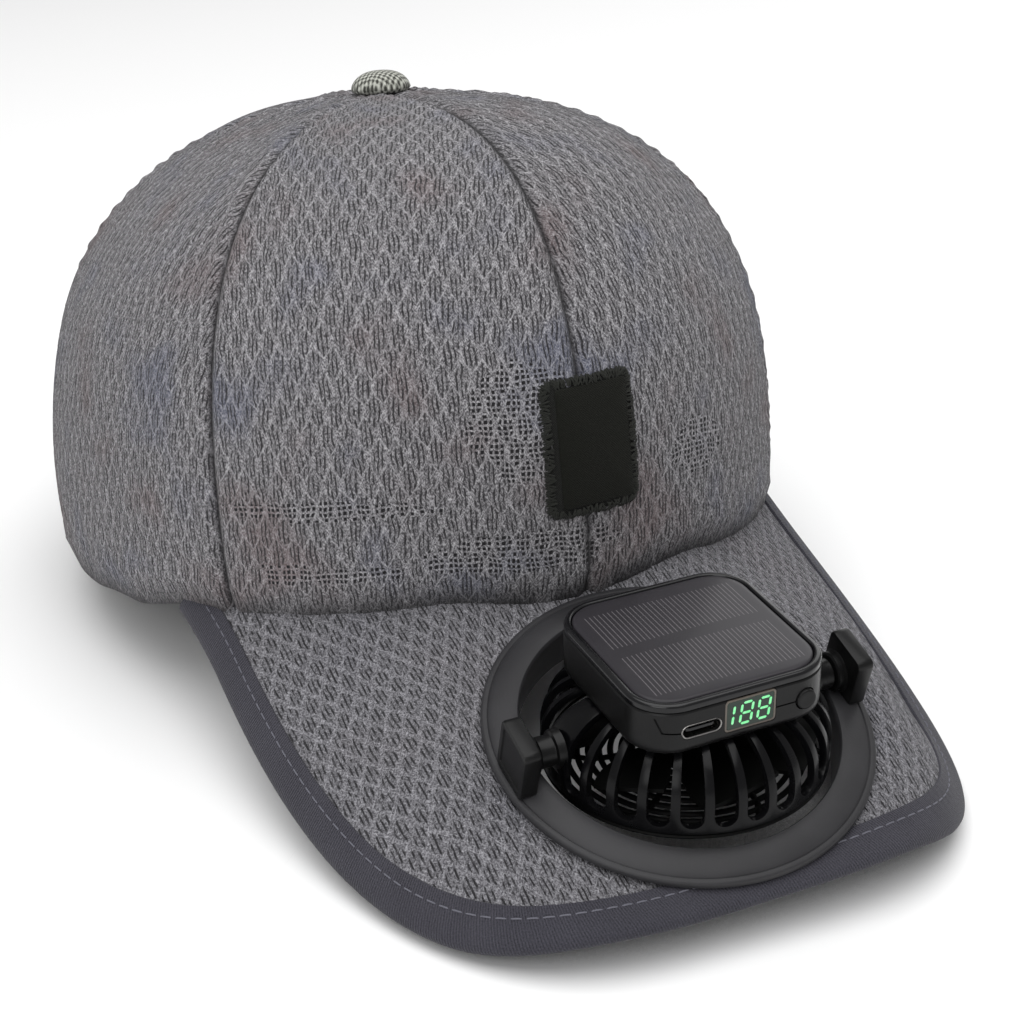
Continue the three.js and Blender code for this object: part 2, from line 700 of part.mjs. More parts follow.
function fanMotor() {
  return turned([
    [0, hubBottom], [MOTOR_SHAFT_RADIUS, hubBottom], [MOTOR_SHAFT_RADIUS, motorBottom],
    [MOTOR_RADIUS, motorBottom], [MOTOR_RADIUS, motorTop], [0, motorTop],
  ], SMALL_STEPS);
}

function fanRotor() {
  const bore = MOTOR_SHAFT_RADIUS + GAP;
  let rotor = solid(turned([
    [bore, hubBottom], [HUB_RADIUS, hubBottom], [HUB_RADIUS, hubTop], [bore, hubTop], [bore, hubBottom],
  ], SMALL_STEPS));
  const length = BLADE_TIP_RADIUS - HUB_RADIUS + 1;
  for (let k = 0; k < BLADE_COUNT; k++) {
    const blade = new THREE.BoxGeometry(length, BLADE_CHORD, BLADE_THICKNESS)
      .rotateX(rad(BLADE_PITCH))
      .translate(BLADE_TIP_RADIUS - length / 2, 0, (hubTop + hubBottom) / 2)
      .rotateZ((k / BLADE_COUNT) * 2 * PI);
    rotor = rotor.add(solid(blade));
  }
  return toGeometry(rotor);
}

// A rounded box with its upright edges round and its top and bottom edges eased
function easedBox(width, corner, low, high, ease) {
  const shape = roundedRect(width - 2 * ease, width - 2 * ease, corner - ease);
  return new THREE.ExtrudeGeometry(shape, {
    depth: high - low - 2 * ease,
    curveSegments: CORNER_STEPS,
    bevelThickness: ease,
    bevelSize: ease,
    bevelSegments: 2,
  }).translate(0, 0, low + ease);
}

const panelWidth = BOX_WIDTH - 2 * PANEL_MARGIN;
const panelCorner = BOX_CORNER - PANEL_MARGIN;
const panelTop = boxTop + PANEL_PROUD;
const panelBottom = panelTop - PANEL_THICKNESS;

function solarHousing() {
  const recess = prism(
    roundedRect(panelWidth + 2 * GAP, panelWidth + 2 * GAP, panelCorner + GAP),
    panelBottom - GAP, boxTop + 1,
  );
  const port = forwardPrism(portShape(GAP), boxFront + PORT_DEPTH + GAP, PORT_DEPTH + 2)
    .translate(PORT_SIDE, 0, boxBottom + PORT_LIFT);
  const display = forwardPrism(
    roundedRect(DISPLAY_WIDTH + 2 * GAP, DISPLAY_HEIGHT + 2 * GAP, DISPLAY_CORNER + GAP),
    boxFront + DISPLAY_THICKNESS + GAP, DISPLAY_THICKNESS + 2,
  ).translate(DISPLAY_SIDE, 0, boxBottom + DISPLAY_LIFT);
  const powerDepth = POWER_LENGTH - POWER_PROUD + POWER_TRAVEL + GAP;
  const power = rod(POWER_RADIUS + GAP, powerDepth + 1, 'y')
    .translate(POWER_SIDE, boxFront + (powerDepth - 1) / 2, boxBottom + POWER_LIFT);
  return toGeometry(solid(easedBox(BOX_WIDTH, BOX_CORNER, boxBottom, boxTop, BOX_EDGE))
    .subtract(solid(recess))
    .subtract(solid(port))
    .subtract(solid(display))
    .subtract(solid(power)));
}

function solarPanel() {
  return prism(roundedRect(panelWidth, panelWidth, panelCorner), panelBottom, panelTop);
}

function portShape(grow) {
  return roundedRect(PORT_WIDTH + 2 * grow, PORT_HEIGHT + 2 * grow, PORT_HEIGHT / 2 + grow);
}

// Charging port: a metal sleeve with a closed back and a tongue
function chargingPort() {
  const back = boxFront + PORT_DEPTH;
  const sleeve = solid(forwardPrism(portShape(0), back, PORT_DEPTH));
  const hollow = solid(forwardPrism(portShape(-PORT_WALL), back - PORT_WALL, PORT_DEPTH));
  const tongue = solid(new THREE.BoxGeometry(PORT_WIDTH * 0.7, PORT_DEPTH * 0.75, PORT_TONGUE)
    .translate(0, back - (PORT_DEPTH * 0.75) / 2, 0));
  return toGeometry(sleeve.subtract(hollow).add(tongue))
    .translate(PORT_SIDE, 0, boxBottom + PORT_LIFT);
}

function displayWindow() {
  return forwardPrism(
    roundedRect(DISPLAY_WIDTH, DISPLAY_HEIGHT, DISPLAY_CORNER),
    boxFront + DISPLAY_THICKNESS, DISPLAY_THICKNESS,
  ).translate(DISPLAY_SIDE, 0, boxBottom + DISPLAY_LIFT);
}

function powerButton() {
  return rod(POWER_RADIUS, POWER_LENGTH, 'y')
    .translate(POWER_SIDE, boxFront - POWER_PROUD + POWER_LENGTH / 2, boxBottom + POWER_LIFT);
}

// Materials

const paint = (color, roughness, metalness = 0) => (
  new THREE.MeshStandardMaterial({ color, roughness, metalness })
);
const crownMesh = paint(0x76747a, 0.95);
const billMesh = paint(0x6e6d72, 0.95);
const buttonCloth = paint(0x84867f, 0.95);
const bindingTwill = paint(0x4c4c56, 0.9);
const patchCloth = paint(0x1e1f1c, 0.9);
const mattePlastic = paint(0x303034, 0.6);
const blackPlastic = paint(0x141416, 0.3);
const solarGlass = paint(0x2a2a30, 0.15);
const displayGlass = paint(0x10201a, 0.2);
const portMetal = paint(0xb0b0b0, 0.3, 1);

// Assembly

const hat = new THREE.Group();

function addTo(parent, name, geometry, material) {
  const mesh = new THREE.Mesh(geometry, material);
  mesh.name = name;
  parent.add(mesh);
  return mesh;
}

const PANELS = [
  { part: 'front', from: 0, to: FRONT_SEAM_ANGLE },
  { part: 'side', from: FRONT_SEAM_ANGLE, to: BACK_SEAM_ANGLE },
  { part: 'back', from: BACK_SEAM_ANGLE, to: 180 },
];
for (const { part, from, to } of PANELS) {
  addTo(hat, `crown_${part}_left`, crownPanel(from, to), crownMesh);
  addTo(hat, `crown_${part}_right`, crownPanel(-to, -from), crownMesh);
}
addTo(hat, 'crown_button', topButton(), buttonCloth);
addTo(hat, 'front_patch', frontPatch(), patchCloth);
addTo(hat, 'bill', bill(), billMesh);
addTo(hat, 'bill_binding', billBinding(), bindingTwill);

const seat = new THREE.Group();
ringPlace.decompose(seat.position, seat.quaternion, seat.scale);
hat.add(seat);
addTo(seat, 'fan_ring', fanRing(), mattePlastic);
addTo(seat, 'retaining_ring', retainingRing(), mattePlastic);

const unit = new THREE.Group();
unit.name = 'fan_unit';
unit.position.set(0, -AXIS_FORWARD, AXIS_HEIGHT);
unit.rotation.x = rad(REST_TILT);
seat.add(unit);
addTo(unit, 'fan_cage', fanCage(), blackPlastic);
addTo(unit, 'lower_guard', lowerGuard(), blackPlastic);
addTo(unit, 'fan_motor', fanMotor(), blackPlastic);
addTo(unit, 'fan_rotor', fanRotor(), blackPlastic);

const box = new THREE.Group();
box.position.set(0, -BOX_FORWARD, 0);
unit.add(box);
addTo(box, 'solar_housing', solarHousing(), mattePlastic);
addTo(box, 'solar_panel', solarPanel(), solarGlass);
addTo(box, 'charging_port', chargingPort(), portMetal);
addTo(box, 'display_window', displayWindow(), displayGlass);
addTo(box, 'power_button', powerButton(), mattePlastic);

// Rest: the hat leans back until the bill's corners and the back hem share one level

function lowestPoint(angle, wanted) {
  const turn = new THREE.Matrix4().makeRotationX(angle);
  let lowest = Infinity;
  hat.traverse((mesh) => {
    if (mesh.isMesh && wanted.test(mesh.name)) {
      const { position } = mesh.geometry.attributes;
      for (let i = 0; i < position.count; i++) {
        const point = new THREE.Vector3().fromBufferAttribute(position, i);
        lowest = min(lowest, point.applyMatrix4(turn).z);
      }
    }
  });
  return lowest;
}

let [least, most] = [-PI / 6, PI / 6];
for (let pass = 0; pass < 40; pass++) {
  const middle = (least + most) / 2;
  if (lowestPoint(middle, /^bill/) > lowestPoint(middle, /^crown_back/)) {
    least = middle;
  } else {
    most = middle;
  }
}
hat.rotation.x = least;

// Origin: under the middle of the hat, on the surface that it lies on
const group = new THREE.Group();
group.add(hat);
group.updateMatrixWorld(true);
const extent = new THREE.Box3().setFromObject(hat, true);
hat.position.set(
  -(extent.min.x + extent.max.x) / 2,
  -(extent.min.y + extent.max.y) / 2,
  -extent.min.z,
);
group.updateMatrixWorld(true);

export default group;
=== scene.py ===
"""Looks of the solar fan hat: a mesh cap whose bill carries a tilting fan under a solar box.

Sizes are millimetres in three local frames: the hat's own frame (+X the wearer's left, -Y the
front, +Z up), the mounting ring's frame and the fan unit's frame. Each frame's place among the
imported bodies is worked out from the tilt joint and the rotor's joint, and meshes are stored in
metres in the row frame.
"""

import json
import logging
import math
from dataclasses import dataclass
from enum import Enum
from typing import Sequence

import bmesh
import bpy
import numpy as np
from mathutils import Matrix, Vector

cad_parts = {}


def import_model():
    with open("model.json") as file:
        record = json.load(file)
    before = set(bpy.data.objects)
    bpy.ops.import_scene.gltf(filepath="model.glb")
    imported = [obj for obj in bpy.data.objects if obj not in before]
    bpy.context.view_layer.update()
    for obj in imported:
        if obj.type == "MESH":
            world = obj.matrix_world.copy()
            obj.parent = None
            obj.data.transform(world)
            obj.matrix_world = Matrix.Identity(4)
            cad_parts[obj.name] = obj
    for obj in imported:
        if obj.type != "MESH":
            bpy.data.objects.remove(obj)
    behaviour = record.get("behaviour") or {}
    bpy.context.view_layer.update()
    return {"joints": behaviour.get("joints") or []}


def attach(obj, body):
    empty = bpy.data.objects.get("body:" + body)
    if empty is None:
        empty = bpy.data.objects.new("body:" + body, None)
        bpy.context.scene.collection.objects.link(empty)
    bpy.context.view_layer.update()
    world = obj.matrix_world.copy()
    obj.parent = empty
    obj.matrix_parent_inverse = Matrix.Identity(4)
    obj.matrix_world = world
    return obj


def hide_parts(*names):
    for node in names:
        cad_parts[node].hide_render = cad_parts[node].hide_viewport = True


LOG = logging.getLogger("solar_fan_hat")
MM = 0.001
FULL_TURN = 2.0 * math.pi
QUARTER_TURN = math.pi / 2
FAR = 1e6
NEARLY_NOTHING = 1e-9
Points = np.ndarray
Piece = bpy.types.Object
Material = bpy.types.Material
Socket = bpy.types.NodeSocket
Tree = bpy.types.NodeTree
Colour = tuple[float, float, float]


class Body(Enum):
    """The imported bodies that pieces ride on."""

    HAT = "root"
    UNIT = "fan_unit"
    ROTOR = "rotor"
    BUTTON = "power_button"


class Slot(Enum):
    """The record's material slots."""

    CROWN = "crown_mesh"
    BILL = "bill_mesh"
    BUTTON_CLOTH = "button_cloth"
    BINDING = "binding_twill"
    PATCH = "patch_cloth"
    MATTE = "matte_plastic"
    GLOSS = "gloss_plastic"
    SOLAR = "solar_cell"
    DISPLAY = "display"
    PORT = "port_metal"


class Side(Enum):
    """The wearer's left or right."""

    LEFT = 1
    RIGHT = -1


def smoothstep(low: float, high: float, value: Points) -> Points:
    """Eases a value from 0 at low to 1 at high."""
    share = np.clip((value - low) / (high - low), 0.0, 1.0)
    return share * share * (3.0 - 2.0 * share)


def unit_rows(vectors: Points) -> Points:
    """Scales each vector of an array to length one."""
    return vectors / np.maximum(np.linalg.norm(vectors, axis=-1, keepdims=True), NEARLY_NOTHING)


def run_along(line: Points) -> Points:
    """Distance travelled along a line at each of its points."""
    return np.r_[0.0, np.cumsum(np.linalg.norm(np.diff(line, axis=0), axis=1))]


def round_angles(count: int) -> Points:
    """Angles of a full turn at even steps, without the one that meets the first."""
    return np.linspace(0.0, FULL_TURN, count, endpoint=False)


def polar(reach: Points, turn: Points, height: Points) -> Points:
    """Points at a distance and an angle about Z, at a height."""
    flat = (reach * np.cos(turn), reach * np.sin(turn), height)
    return np.stack(np.broadcast_arrays(*flat), axis=-1)


def resample(line: Points, count: int) -> Points:
    """Spreads points at even steps along a line.

    Args:
        line: Points of an open line.
        count: Number of points wanted.

    Returns:
        The new points, ends included.
    """
    steps = run_along(line)
    wanted = np.linspace(0.0, steps[-1], count)
    return np.stack([np.interp(wanted, steps, line[:, k]) for k in range(line.shape[1])], axis=-1)


@dataclass(frozen=True)
class KnitCell:
    """One staggered leaf of the mesh knit, in millimetres."""

    width: float
    length: float
    half_width: float
    half_length: float
    strokes: float
    solid: float = 0.55
    faded: float = 1.1

    def mask(self, across: Points, along: Points) -> Points:
        """How far each point lies inside a leaf.

        Args:
            across: Distance across the cloth.
            along: Distance along the cloth.

        Returns:
            1 in a leaf's middle and 0 between the leaves.
        """
        best = np.zeros_like(across)
        for shift in (0.0, 0.5):
            x = ((across / self.width + shift) % 1.0 - 0.5) * self.width
            y = ((along / self.length + shift) % 1.0 - 0.5) * self.length
            edge = np.abs(x) / self.half_width + (y / self.half_length) ** 2
            best = np.maximum(best, 1.0 - smoothstep(self.solid, self.faded, edge))
        return best


CROWN_CELL = KnitCell(width=4.15, length=10.0, half_width=1.75, half_length=3.7, strokes=3.6)
BILL_CELL = KnitCell(width=3.9, length=8.0, half_width=1.4, half_length=2.7, strokes=3.1)


@dataclass(frozen=True)
class HatShape:
    """Driving sizes of the hat and the surfaces that follow from them."""

    head_half_width: float = 87.7
    head_front: float = 104.2
    head_back: float = 96.5
    crown_height: float = 114.0
    apex_shift: float = -4.0
    crown_wall: float = 1.3
    back_hem_height: float = 5.8
    side_hem_dip: float = 4.5
    bill_pitch: float = math.radians(27)
    bend_radius: float = 117.2
    bill_root_height: float = 14.5
    bill_half_width: float = 82.5
    bill_root_half_width: float = 84.2
    bill_root_back: float = 46.5
    bill_widest_back: float = 21.0
    bill_thickness: float = 3.0
    bill_side_round: float = 3.78
    bill_front_round: float = 2.36
    binding_width: float = 8.6
    cage_radius: float = 29.2
    cage_clearance: float = 3.3
    flange_width: float = 7.7
    ring_crown_gap: float = 1.6
    ring_edge_margin: float = 2.5
    ring_drop: float = 0.5
    ring_lean: float = math.radians(2.5)
    ring_above_bill: float = 2.4
    seat_fade: float = 24.0
    axis_forward: float = 1.2
    axis_height: float = 4.8
    rest_tilt: float = math.radians(-14.8)
    box_forward: float = 1.4
    gap: float = 0.3
    blend_power: float = 1.5
    plan_side: float = 1.83
    plan_front: float = 3.4
    plan_back: float = 2.57
    rise_front: float = 3.4
    rise_back: float = 3.0
    end_swell: float = 0.03
    root_points: int = 60
    front_points: int = 400

    @property
    def bore_radius(self) -> float:
        """Radius of the ring's bore."""
        return self.cage_radius + self.cage_clearance

    @property
    def ring_radius(self) -> float:
        """Outer radius of the ring's flange."""
        return self.bore_radius + self.flange_width

    @property
    def ring_forward(self) -> float:
        """Distance of the ring's centre in front of the crown."""
        return self.ring_radius + self.ring_crown_gap

    @property
    def bill_length(self) -> float:
        """Length of the bill in front of the crown."""
        return self.ring_forward + self.ring_radius + self.ring_edge_margin

    @property
    def forward(self) -> Points:
        """Direction of the bill's board towards the front."""
        return np.array([0.0, -math.cos(self.bill_pitch), -math.sin(self.bill_pitch)])

    @property
    def upward(self) -> Points:
        """Direction square to the bill's board."""
        return np.array([0.0, -math.sin(self.bill_pitch), math.cos(self.bill_pitch)])

    @property
    def bill_root(self) -> Points:
        """Where the bill's middle meets the crown."""
        return np.array([0.0, -self.head_front, self.bill_root_height])

    def bill_height(self, x: Points, v: Points) -> Points:
        """Height of the bill's top off the board's plane.

        Args:
            x: Distance to the wearer's left.
            v: Distance forward of the crown's front.

        Returns:
            The height at each point.
        """
        safe = np.minimum(np.abs(x), 0.98 * self.bend_radius)
        bent = np.sqrt(self.bend_radius**2 - safe**2) - self.bend_radius
        seat = x * math.tan(self.ring_lean) - self.ring_above_bill / math.cos(self.ring_lean)
        reach = np.hypot(x, v - self.ring_forward)
        flat = 1.0 - smoothstep(self.ring_radius + 1.0, self.ring_radius + self.seat_fade, reach)
        return bent + (seat - self.ring_drop - bent) * flat

    def bill_point(self, x: Points, v: Points, depth: Points = 0.0) -> Points:
        """Points of the bill, in the hat's frame.

        Args:
            x: Distance to the wearer's left.
            v: Distance forward of the crown's front.
            depth: Depth below the bill's top surface.

        Returns:
            An array of points.
        """
        step = 0.5
        top = self._bill_top(x, v)
        along = self._bill_top(x, v + step) - self._bill_top(x, v - step)
        across = self._bill_top(x + step, v) - self._bill_top(x - step, v)
        normal = unit_rows(np.cross(along, across))
        return top - normal * np.asarray(depth, float)[..., None]

    def _bill_top(self, x: Points, v: Points) -> Points:
        """Points of the bill's top surface."""
        height = self.bill_height(x, v)
        point = self.bill_root + v[..., None] * self.forward + height[..., None] * self.upward
        point[..., 0] += x
        return point

    def bill_top_at(self, x: Points, y: Points) -> Points:
        """Height of the bill's top over points of the hat's plan.

        Args:
            x: Distance to the wearer's left.
            y: Distance to the back.

        Returns:
            The height at each point.
        """
        height = np.zeros_like(x)
        v = np.zeros_like(x)
        slope, run = math.sin(self.bill_pitch), math.cos(self.bill_pitch)
        for _ in range(8):
            v = (-self.head_front - y - height * slope) / run
            height = self.bill_height(x, v)
        return self.bill_root_height - v * slope + height * run

    def profile(self, theta: Points, side: float, front: float, back: float) -> Points:
        """Blends a value of the crown's profile from its side to its front and back."""
        to_front = np.maximum(np.cos(theta), 0.0) ** self.blend_power
        to_back = np.maximum(-np.cos(theta), 0.0) ** self.blend_power
        return side * (1.0 - to_front - to_back) + front * to_front + back * to_back

    def plan_round(self, theta: Points) -> Points:
        """Exponent of the crown's plan radius against its turn."""
        return self.profile(theta, self.plan_side, self.plan_front, self.plan_back)

    def half_depth(self, theta: Points) -> Points:
        """The head's length in front of its middle or behind it."""
        return np.where(np.cos(theta) >= 0.0, self.head_front, self.head_back)

    def hem_height(self, theta: Points) -> Points:
        """Height of the crown's hem round the head."""
        ahead = np.cos(theta)
        over_bill = smoothstep(-0.1, 0.4, ahead)
        x, y = self.head_half_width * np.sin(theta), -self.half_depth(theta) * ahead
        front = self.bill_top_at(x, y) + self.gap
        dip = self.side_hem_dip * smoothstep(-0.1, 0.15, ahead) * (1.0 - smoothstep(0.3, 0.5, ahead))
        return self.back_hem_height + (front - self.back_hem_height) * over_bill - dip

    def crown_point(self, theta: Points, turn: Points) -> Points:
        """Points of the crown's outer surface.

        Args:
            theta: Angle round the head, from the front to the wearer's left.
            turn: Angle from the hem, 0, to the apex, a quarter turn.

        Returns:
            An array of points in the hat's frame.
        """
        rise = np.sin(turn) ** (2.0 / self.profile(theta, self.rise_front, self.rise_front, self.rise_back))
        swell = 1.0 + 4.0 * self.profile(theta, 0.0, self.end_swell, self.end_swell) * rise * (1.0 - rise)
        share = np.cos(turn) ** (2.0 / self.plan_round(theta)) * swell
        hem = self.hem_height(theta)
        x = self.head_half_width * np.sin(theta) * share
        y = -self.half_depth(theta) * np.cos(theta) * share + self.apex_shift * (1.0 - share)
        return np.stack([x, y, hem + (self.crown_height - hem) * rise], axis=-1)

    def crown_normal(self, theta: Points, turn: Points) -> Points:
        """Outward directions of the crown's surface."""
        step = 0.004
        middle = np.clip(turn, 6.0 * step, QUARTER_TURN - 1.2 * step)
        round_it = self.crown_point(theta + step, middle) - self.crown_point(theta - step, middle)
        up = self.crown_point(theta, middle + step) - self.crown_point(theta, middle - step)
        return unit_rows(np.cross(round_it, up))

    def turn_at_radius(self, theta: Points, radius: float) -> Points:
        """Turn at which the crown has closed to a given radius round the apex."""
        plan = np.hypot(self.head_half_width * np.sin(theta), self.half_depth(theta) * np.cos(theta))
        return np.arccos((radius / plan) ** (self.plan_round(theta) / 2.0))

    def bill_outline(self, inset: float, count: int) -> Points:
        """The bill's outline, drawn in by an inset, from the wearer's left root to the right.

        Args:
            inset: Distance inside the outline, measured on the flat board.
            count: Number of points, at even steps.

        Returns:
            Points across and forward, with the bend taken into account.
        """
        share = np.linspace(0.0, 1.0, self.root_points, endpoint=False)
        widen = (self.bill_root_half_width - self.bill_half_width) * (1.0 - share) ** 2
        root_v = -self.bill_root_back + (self.bill_root_back - self.bill_widest_back) * share
        turn = np.linspace(0.0, QUARTER_TURN, self.front_points)
        front_u = self.bill_half_width * np.maximum(np.cos(turn), 0.0) ** (2.0 / self.bill_side_round)
        reach = self.bill_length + self.bill_widest_back
        front_v = reach * np.sin(turn) ** (2.0 / self.bill_front_round) - self.bill_widest_back
        half = np.stack([np.r_[self.bill_half_width + widen, front_u], np.r_[root_v, front_v]], axis=-1)
        half[-1, 0] = 0.0
        whole = resample(np.r_[half, half[-2::-1] * [-1.0, 1.0]], count)
        tangent = unit_rows(np.gradient(whole, axis=0))
        drawn = whole + inset * np.stack([-tangent[:, 1], tangent[:, 0]], axis=-1)
        drawn[:, 0] = self.bend_radius * np.sin(drawn[:, 0] / self.bend_radius)
        return drawn

    def ring_place(self) -> Matrix:
        """Place of the ring's frame in the hat's frame, in millimetres."""
        centre = self.bill_root + self.ring_forward * self.forward - self.ring_drop * self.upward
        turn = Matrix.Rotation(self.bill_pitch, 4, "X") @ Matrix.Rotation(-self.ring_lean, 4, "Y")
        return Matrix.Translation(Vector(centre)) @ turn

    def unit_place(self) -> Matrix:
        """Place of the fan unit's frame in the ring's frame, in millimetres."""
        shift = Matrix.Translation((0.0, -self.axis_forward, self.axis_height))
        return shift @ Matrix.Rotation(self.rest_tilt, 4, "X")


@dataclass(frozen=True)
class Places:
    """Where the three local frames lie in the row frame, from millimetres to metres."""

    hat: Matrix
    ring: Matrix
    unit: Matrix

    @classmethod
    def from_frame(cls, shape: HatShape, joints: Sequence[dict]) -> "Places":
        """Works the places out from the tilt joint and the rotor's joint.

        Args:
            shape: The hat's sizes.
            joints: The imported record's joints.

        Returns:
            The three places.
        """
        by_name = {joint["name"]: joint for joint in joints}
        tilt = by_name["fan_tilt"]
        left = Vector(tilt["axis"]).normalized()
        up = Vector(by_name["rotor_spin"]["axis"]).normalized()
        back = up.cross(left).normalized()
        turn = Matrix((left, back, up)).transposed().to_4x4()
        unit = Matrix.Translation(Vector(tilt["pos_m"])) @ turn @ Matrix.Scale(MM, 4)
        ring = unit @ shape.unit_place().inverted()
        return cls(hat=ring @ shape.ring_place().inverted(), ring=ring, unit=unit)


def placed(points: Points, place: Matrix) -> Points:
    """Takes points in a local frame's millimetres to the row frame's metres."""
    matrix = np.array(place)
    return points.reshape(-1, 3) @ matrix[:3, :3].T + matrix[:3, 3]


def linked(name: str, data: bpy.types.ID) -> Piece:
    """Makes an object that holds some data, and links it to the scene."""
    made = bpy.data.objects.new(name, data)
    bpy.context.scene.collection.objects.link(made)
    return made


class MeshSketch:
    """Gathers the points and faces of one piece in a local frame."""

    def __init__(self, place: Matrix) -> None:
        """Starts an empty sketch.

        Args:
            place: Place of the local frame that the points are given in.
        """
        self.place = place
        self.points: list[Points] = []
        self.faces: list[tuple[int, ...]] = []
        self.cloth: list[Points] = []
        self.count = 0

    def add_points(self, points: Points, cloth: Points | None = None) -> int:
        """Adds points.

        Args:
            points: Points in the local frame.
            cloth: Distances across and along the cloth, in millimetres.

        Returns:
            The index of the first new point.
        """
        flat = points.reshape(-1, 3)
        self.points.append(flat)
        self.cloth.append(np.zeros((len(flat), 2)) if cloth is None else cloth.reshape(-1, 2))
        first = self.count
        self.count += len(flat)
        return first

    def grid_faces(self, first: int, rows: int, columns: int, flip: bool = False) -> None:
        """Adds the faces of a grid of points."""
        index = first + np.arange(rows * columns).reshape(rows, columns)
        quads = np.stack([index[:-1, :-1], index[:-1, 1:], index[1:, 1:], index[1:, :-1]], axis=-1)
        quads = quads.reshape(-1, 4)
        self.faces.extend(map(tuple, quads[:, ::-1] if flip else quads))

    def shell(
        self, outer: Points, inner: Points, cloth: Points | None = None, closed: bool = False
    ) -> None:
        """Adds a closed skin between two grids of points.

        Args:
            outer: Rows and columns of points on one side.
            inner: The same on the other side.
            cloth: Distances across and along the cloth for each point.
            closed: Whether the last column meets the first.
        """
        if closed:
            outer, inner = (np.concatenate([side, side[:, :1]], axis=1) for side in (outer, inner))
            cloth = None if cloth is None else np.concatenate([cloth, cloth[:, :1]], axis=1)
        rows, columns = outer.shape[:2]
        front = self.add_points(outer, cloth)
        back = self.add_points(inner, cloth)
        self.grid_faces(front, rows, columns)
        self.grid_faces(back, rows, columns, flip=True)
        index = np.arange(rows * columns).reshape(rows, columns)
        rims = [index[0, ::-1], index[-1]]
        if not closed:
            rims += [index[:, 0], index[::-1, -1]]
        for rim in rims:
            for a, b in zip(rim[:-1], rim[1:]):
                self.faces.append((front + b, front + a, back + a, back + b))

    def loft(self, loops: Sequence[Points], capped: bool = True, cloth: Points | None = None) -> None:
        """Joins closed loops of equal length in order.

        Args:
            loops: The loops, each an array of points.
            capped: Whether the first and the last loop are each closed by a face.
            cloth: Distances across and along the cloth for each point.
        """
        size = len(loops[0])
        first = self.add_points(np.stack(loops), cloth)
        for row in range(len(loops) - 1):
            here = first + row * size
            for k in range(size):
                after = (k + 1) % size
                self.faces.append((here + k, here + after, here + size + after, here + size + k))
        if capped:
            self.faces.append(tuple(first + k for k in range(size - 1, -1, -1)))
            last = first + (len(loops) - 1) * size
            self.faces.append(tuple(last + k for k in range(size)))

    def ring_loft(self, loops: Sequence[Points]) -> None:
        """Joins closed loops in order, and the last to the first."""
        self.loft([*loops, loops[0]], capped=False)

    def tube(self, path: Points, radius: float, sides: int = 8, flat: float = 1.0) -> None:
        """Adds a round-ended tube along a path.

        Args:
            path: Points that the tube follows.
            radius: Radius of the tube.
            sides: Number of sides.
            flat: Height of the section as a share of its width.
        """
        along = unit_rows(np.gradient(path, axis=0))
        helper = np.array([0.0, 0.0, 1.0]) if abs(along[0, 2]) < 0.9 else np.array([1.0, 0.0, 0.0])
        side = unit_rows(np.cross(along, helper))
        up = np.cross(side, along)
        angles = round_angles(sides)[None, :, None]
        ring = np.cos(angles) * side[:, None] + flat * np.sin(angles) * up[:, None]
        loops = path[:, None] + radius * ring
        begin, end = (path[k] + 0.45 * (loops[k] - path[k]) for k in (0, -1))
        self.loft([begin - along[0] * radius * 0.5, *loops, end + along[-1] * radius * 0.5])

    def mark(self, name: str, values: Points, piece: Piece) -> None:
        """Stores one number for each point of a shell, the same on both of its sides.

        Args:
            name: Name of the attribute.
            values: The numbers, in the order of one side's points.
            piece: The shell's object.
        """
        both = np.concatenate([values.ravel(), values.ravel()]).astype(np.float32)
        layer = piece.data.attributes.new(name=name, type="FLOAT", domain="POINT")
        layer.data.foreach_set("value", both)

    def build(self, name: str, merge: float = 0.0, sharp: float = 40.0) -> Piece:
        """Makes the piece's object, with its points in metres in the row frame.

        Args:
            name: Name of the piece.
            merge: Distance in millimetres under which points become one.
            sharp: Angle in degrees past which an edge isn't shaded smooth.

        Returns:
            The new object.
        """
        mesh = bpy.data.meshes.new(name)
        mesh.from_pydata(placed(np.concatenate(self.points), self.place).tolist(), [], self.faces)
        layer = mesh.uv_layers.new(name="cloth")
        cloth = np.concatenate(self.cloth).astype(np.float32)
        corner = np.zeros(len(mesh.loops), np.int32)
        mesh.loops.foreach_get("vertex_index", corner)
        layer.data.foreach_set("uv", cloth[corner].ravel())
        body = bmesh.new()
        body.from_mesh(mesh)
        if merge > 0.0:
            bmesh.ops.remove_doubles(body, verts=body.verts, dist=merge * MM)
        bmesh.ops.recalc_face_normals(body, faces=body.faces)
        body.to_mesh(mesh)
        body.free()
        mesh.polygons.foreach_set("use_smooth", np.ones(len(mesh.polygons), bool))
        mesh.set_sharp_from_angle(angle=math.radians(sharp))
        return linked(name, mesh)


def lathe_loops(profile: Sequence[tuple[float, float]], steps: int, axis: str = "z") -> list[Points]:
    """Closed loops of a turned shape.

    Args:
        profile: Radii and heights.
        steps: Number of sides.
        axis: Axis that the profile turns about, x, y or z.

    Returns:
        One loop for each point of the profile.
    """
    angles = round_angles(steps)
    order = {"x": (2, 0, 1), "y": (1, 2, 0), "z": (0, 1, 2)}[axis]
    loops = []
    for radius, height in profile:
        parts = [radius * np.cos(angles), radius * np.sin(angles), np.full(steps, height)]
        loops.append(np.stack([parts[k] for k in order], axis=-1))
    return loops


def rounded_rect(width: float, height: float, corner: float, steps: int = 12) -> Points:
    """Points of a rounded rectangle round the origin, anticlockwise."""
    corner = min(corner, width / 2, height / 2)
    turn = np.linspace(0.0, QUARTER_TURN, steps)
    parts = []
    for quarter, (sx, sy) in enumerate([(1, 1), (-1, 1), (-1, -1), (1, -1)]):
        angle = turn + quarter * QUARTER_TURN
        centre = np.array([sx * (width / 2 - corner), sy * (height / 2 - corner)])
        parts.append(centre + corner * np.stack([np.cos(angle), np.sin(angle)], axis=-1))
    return np.concatenate(parts)


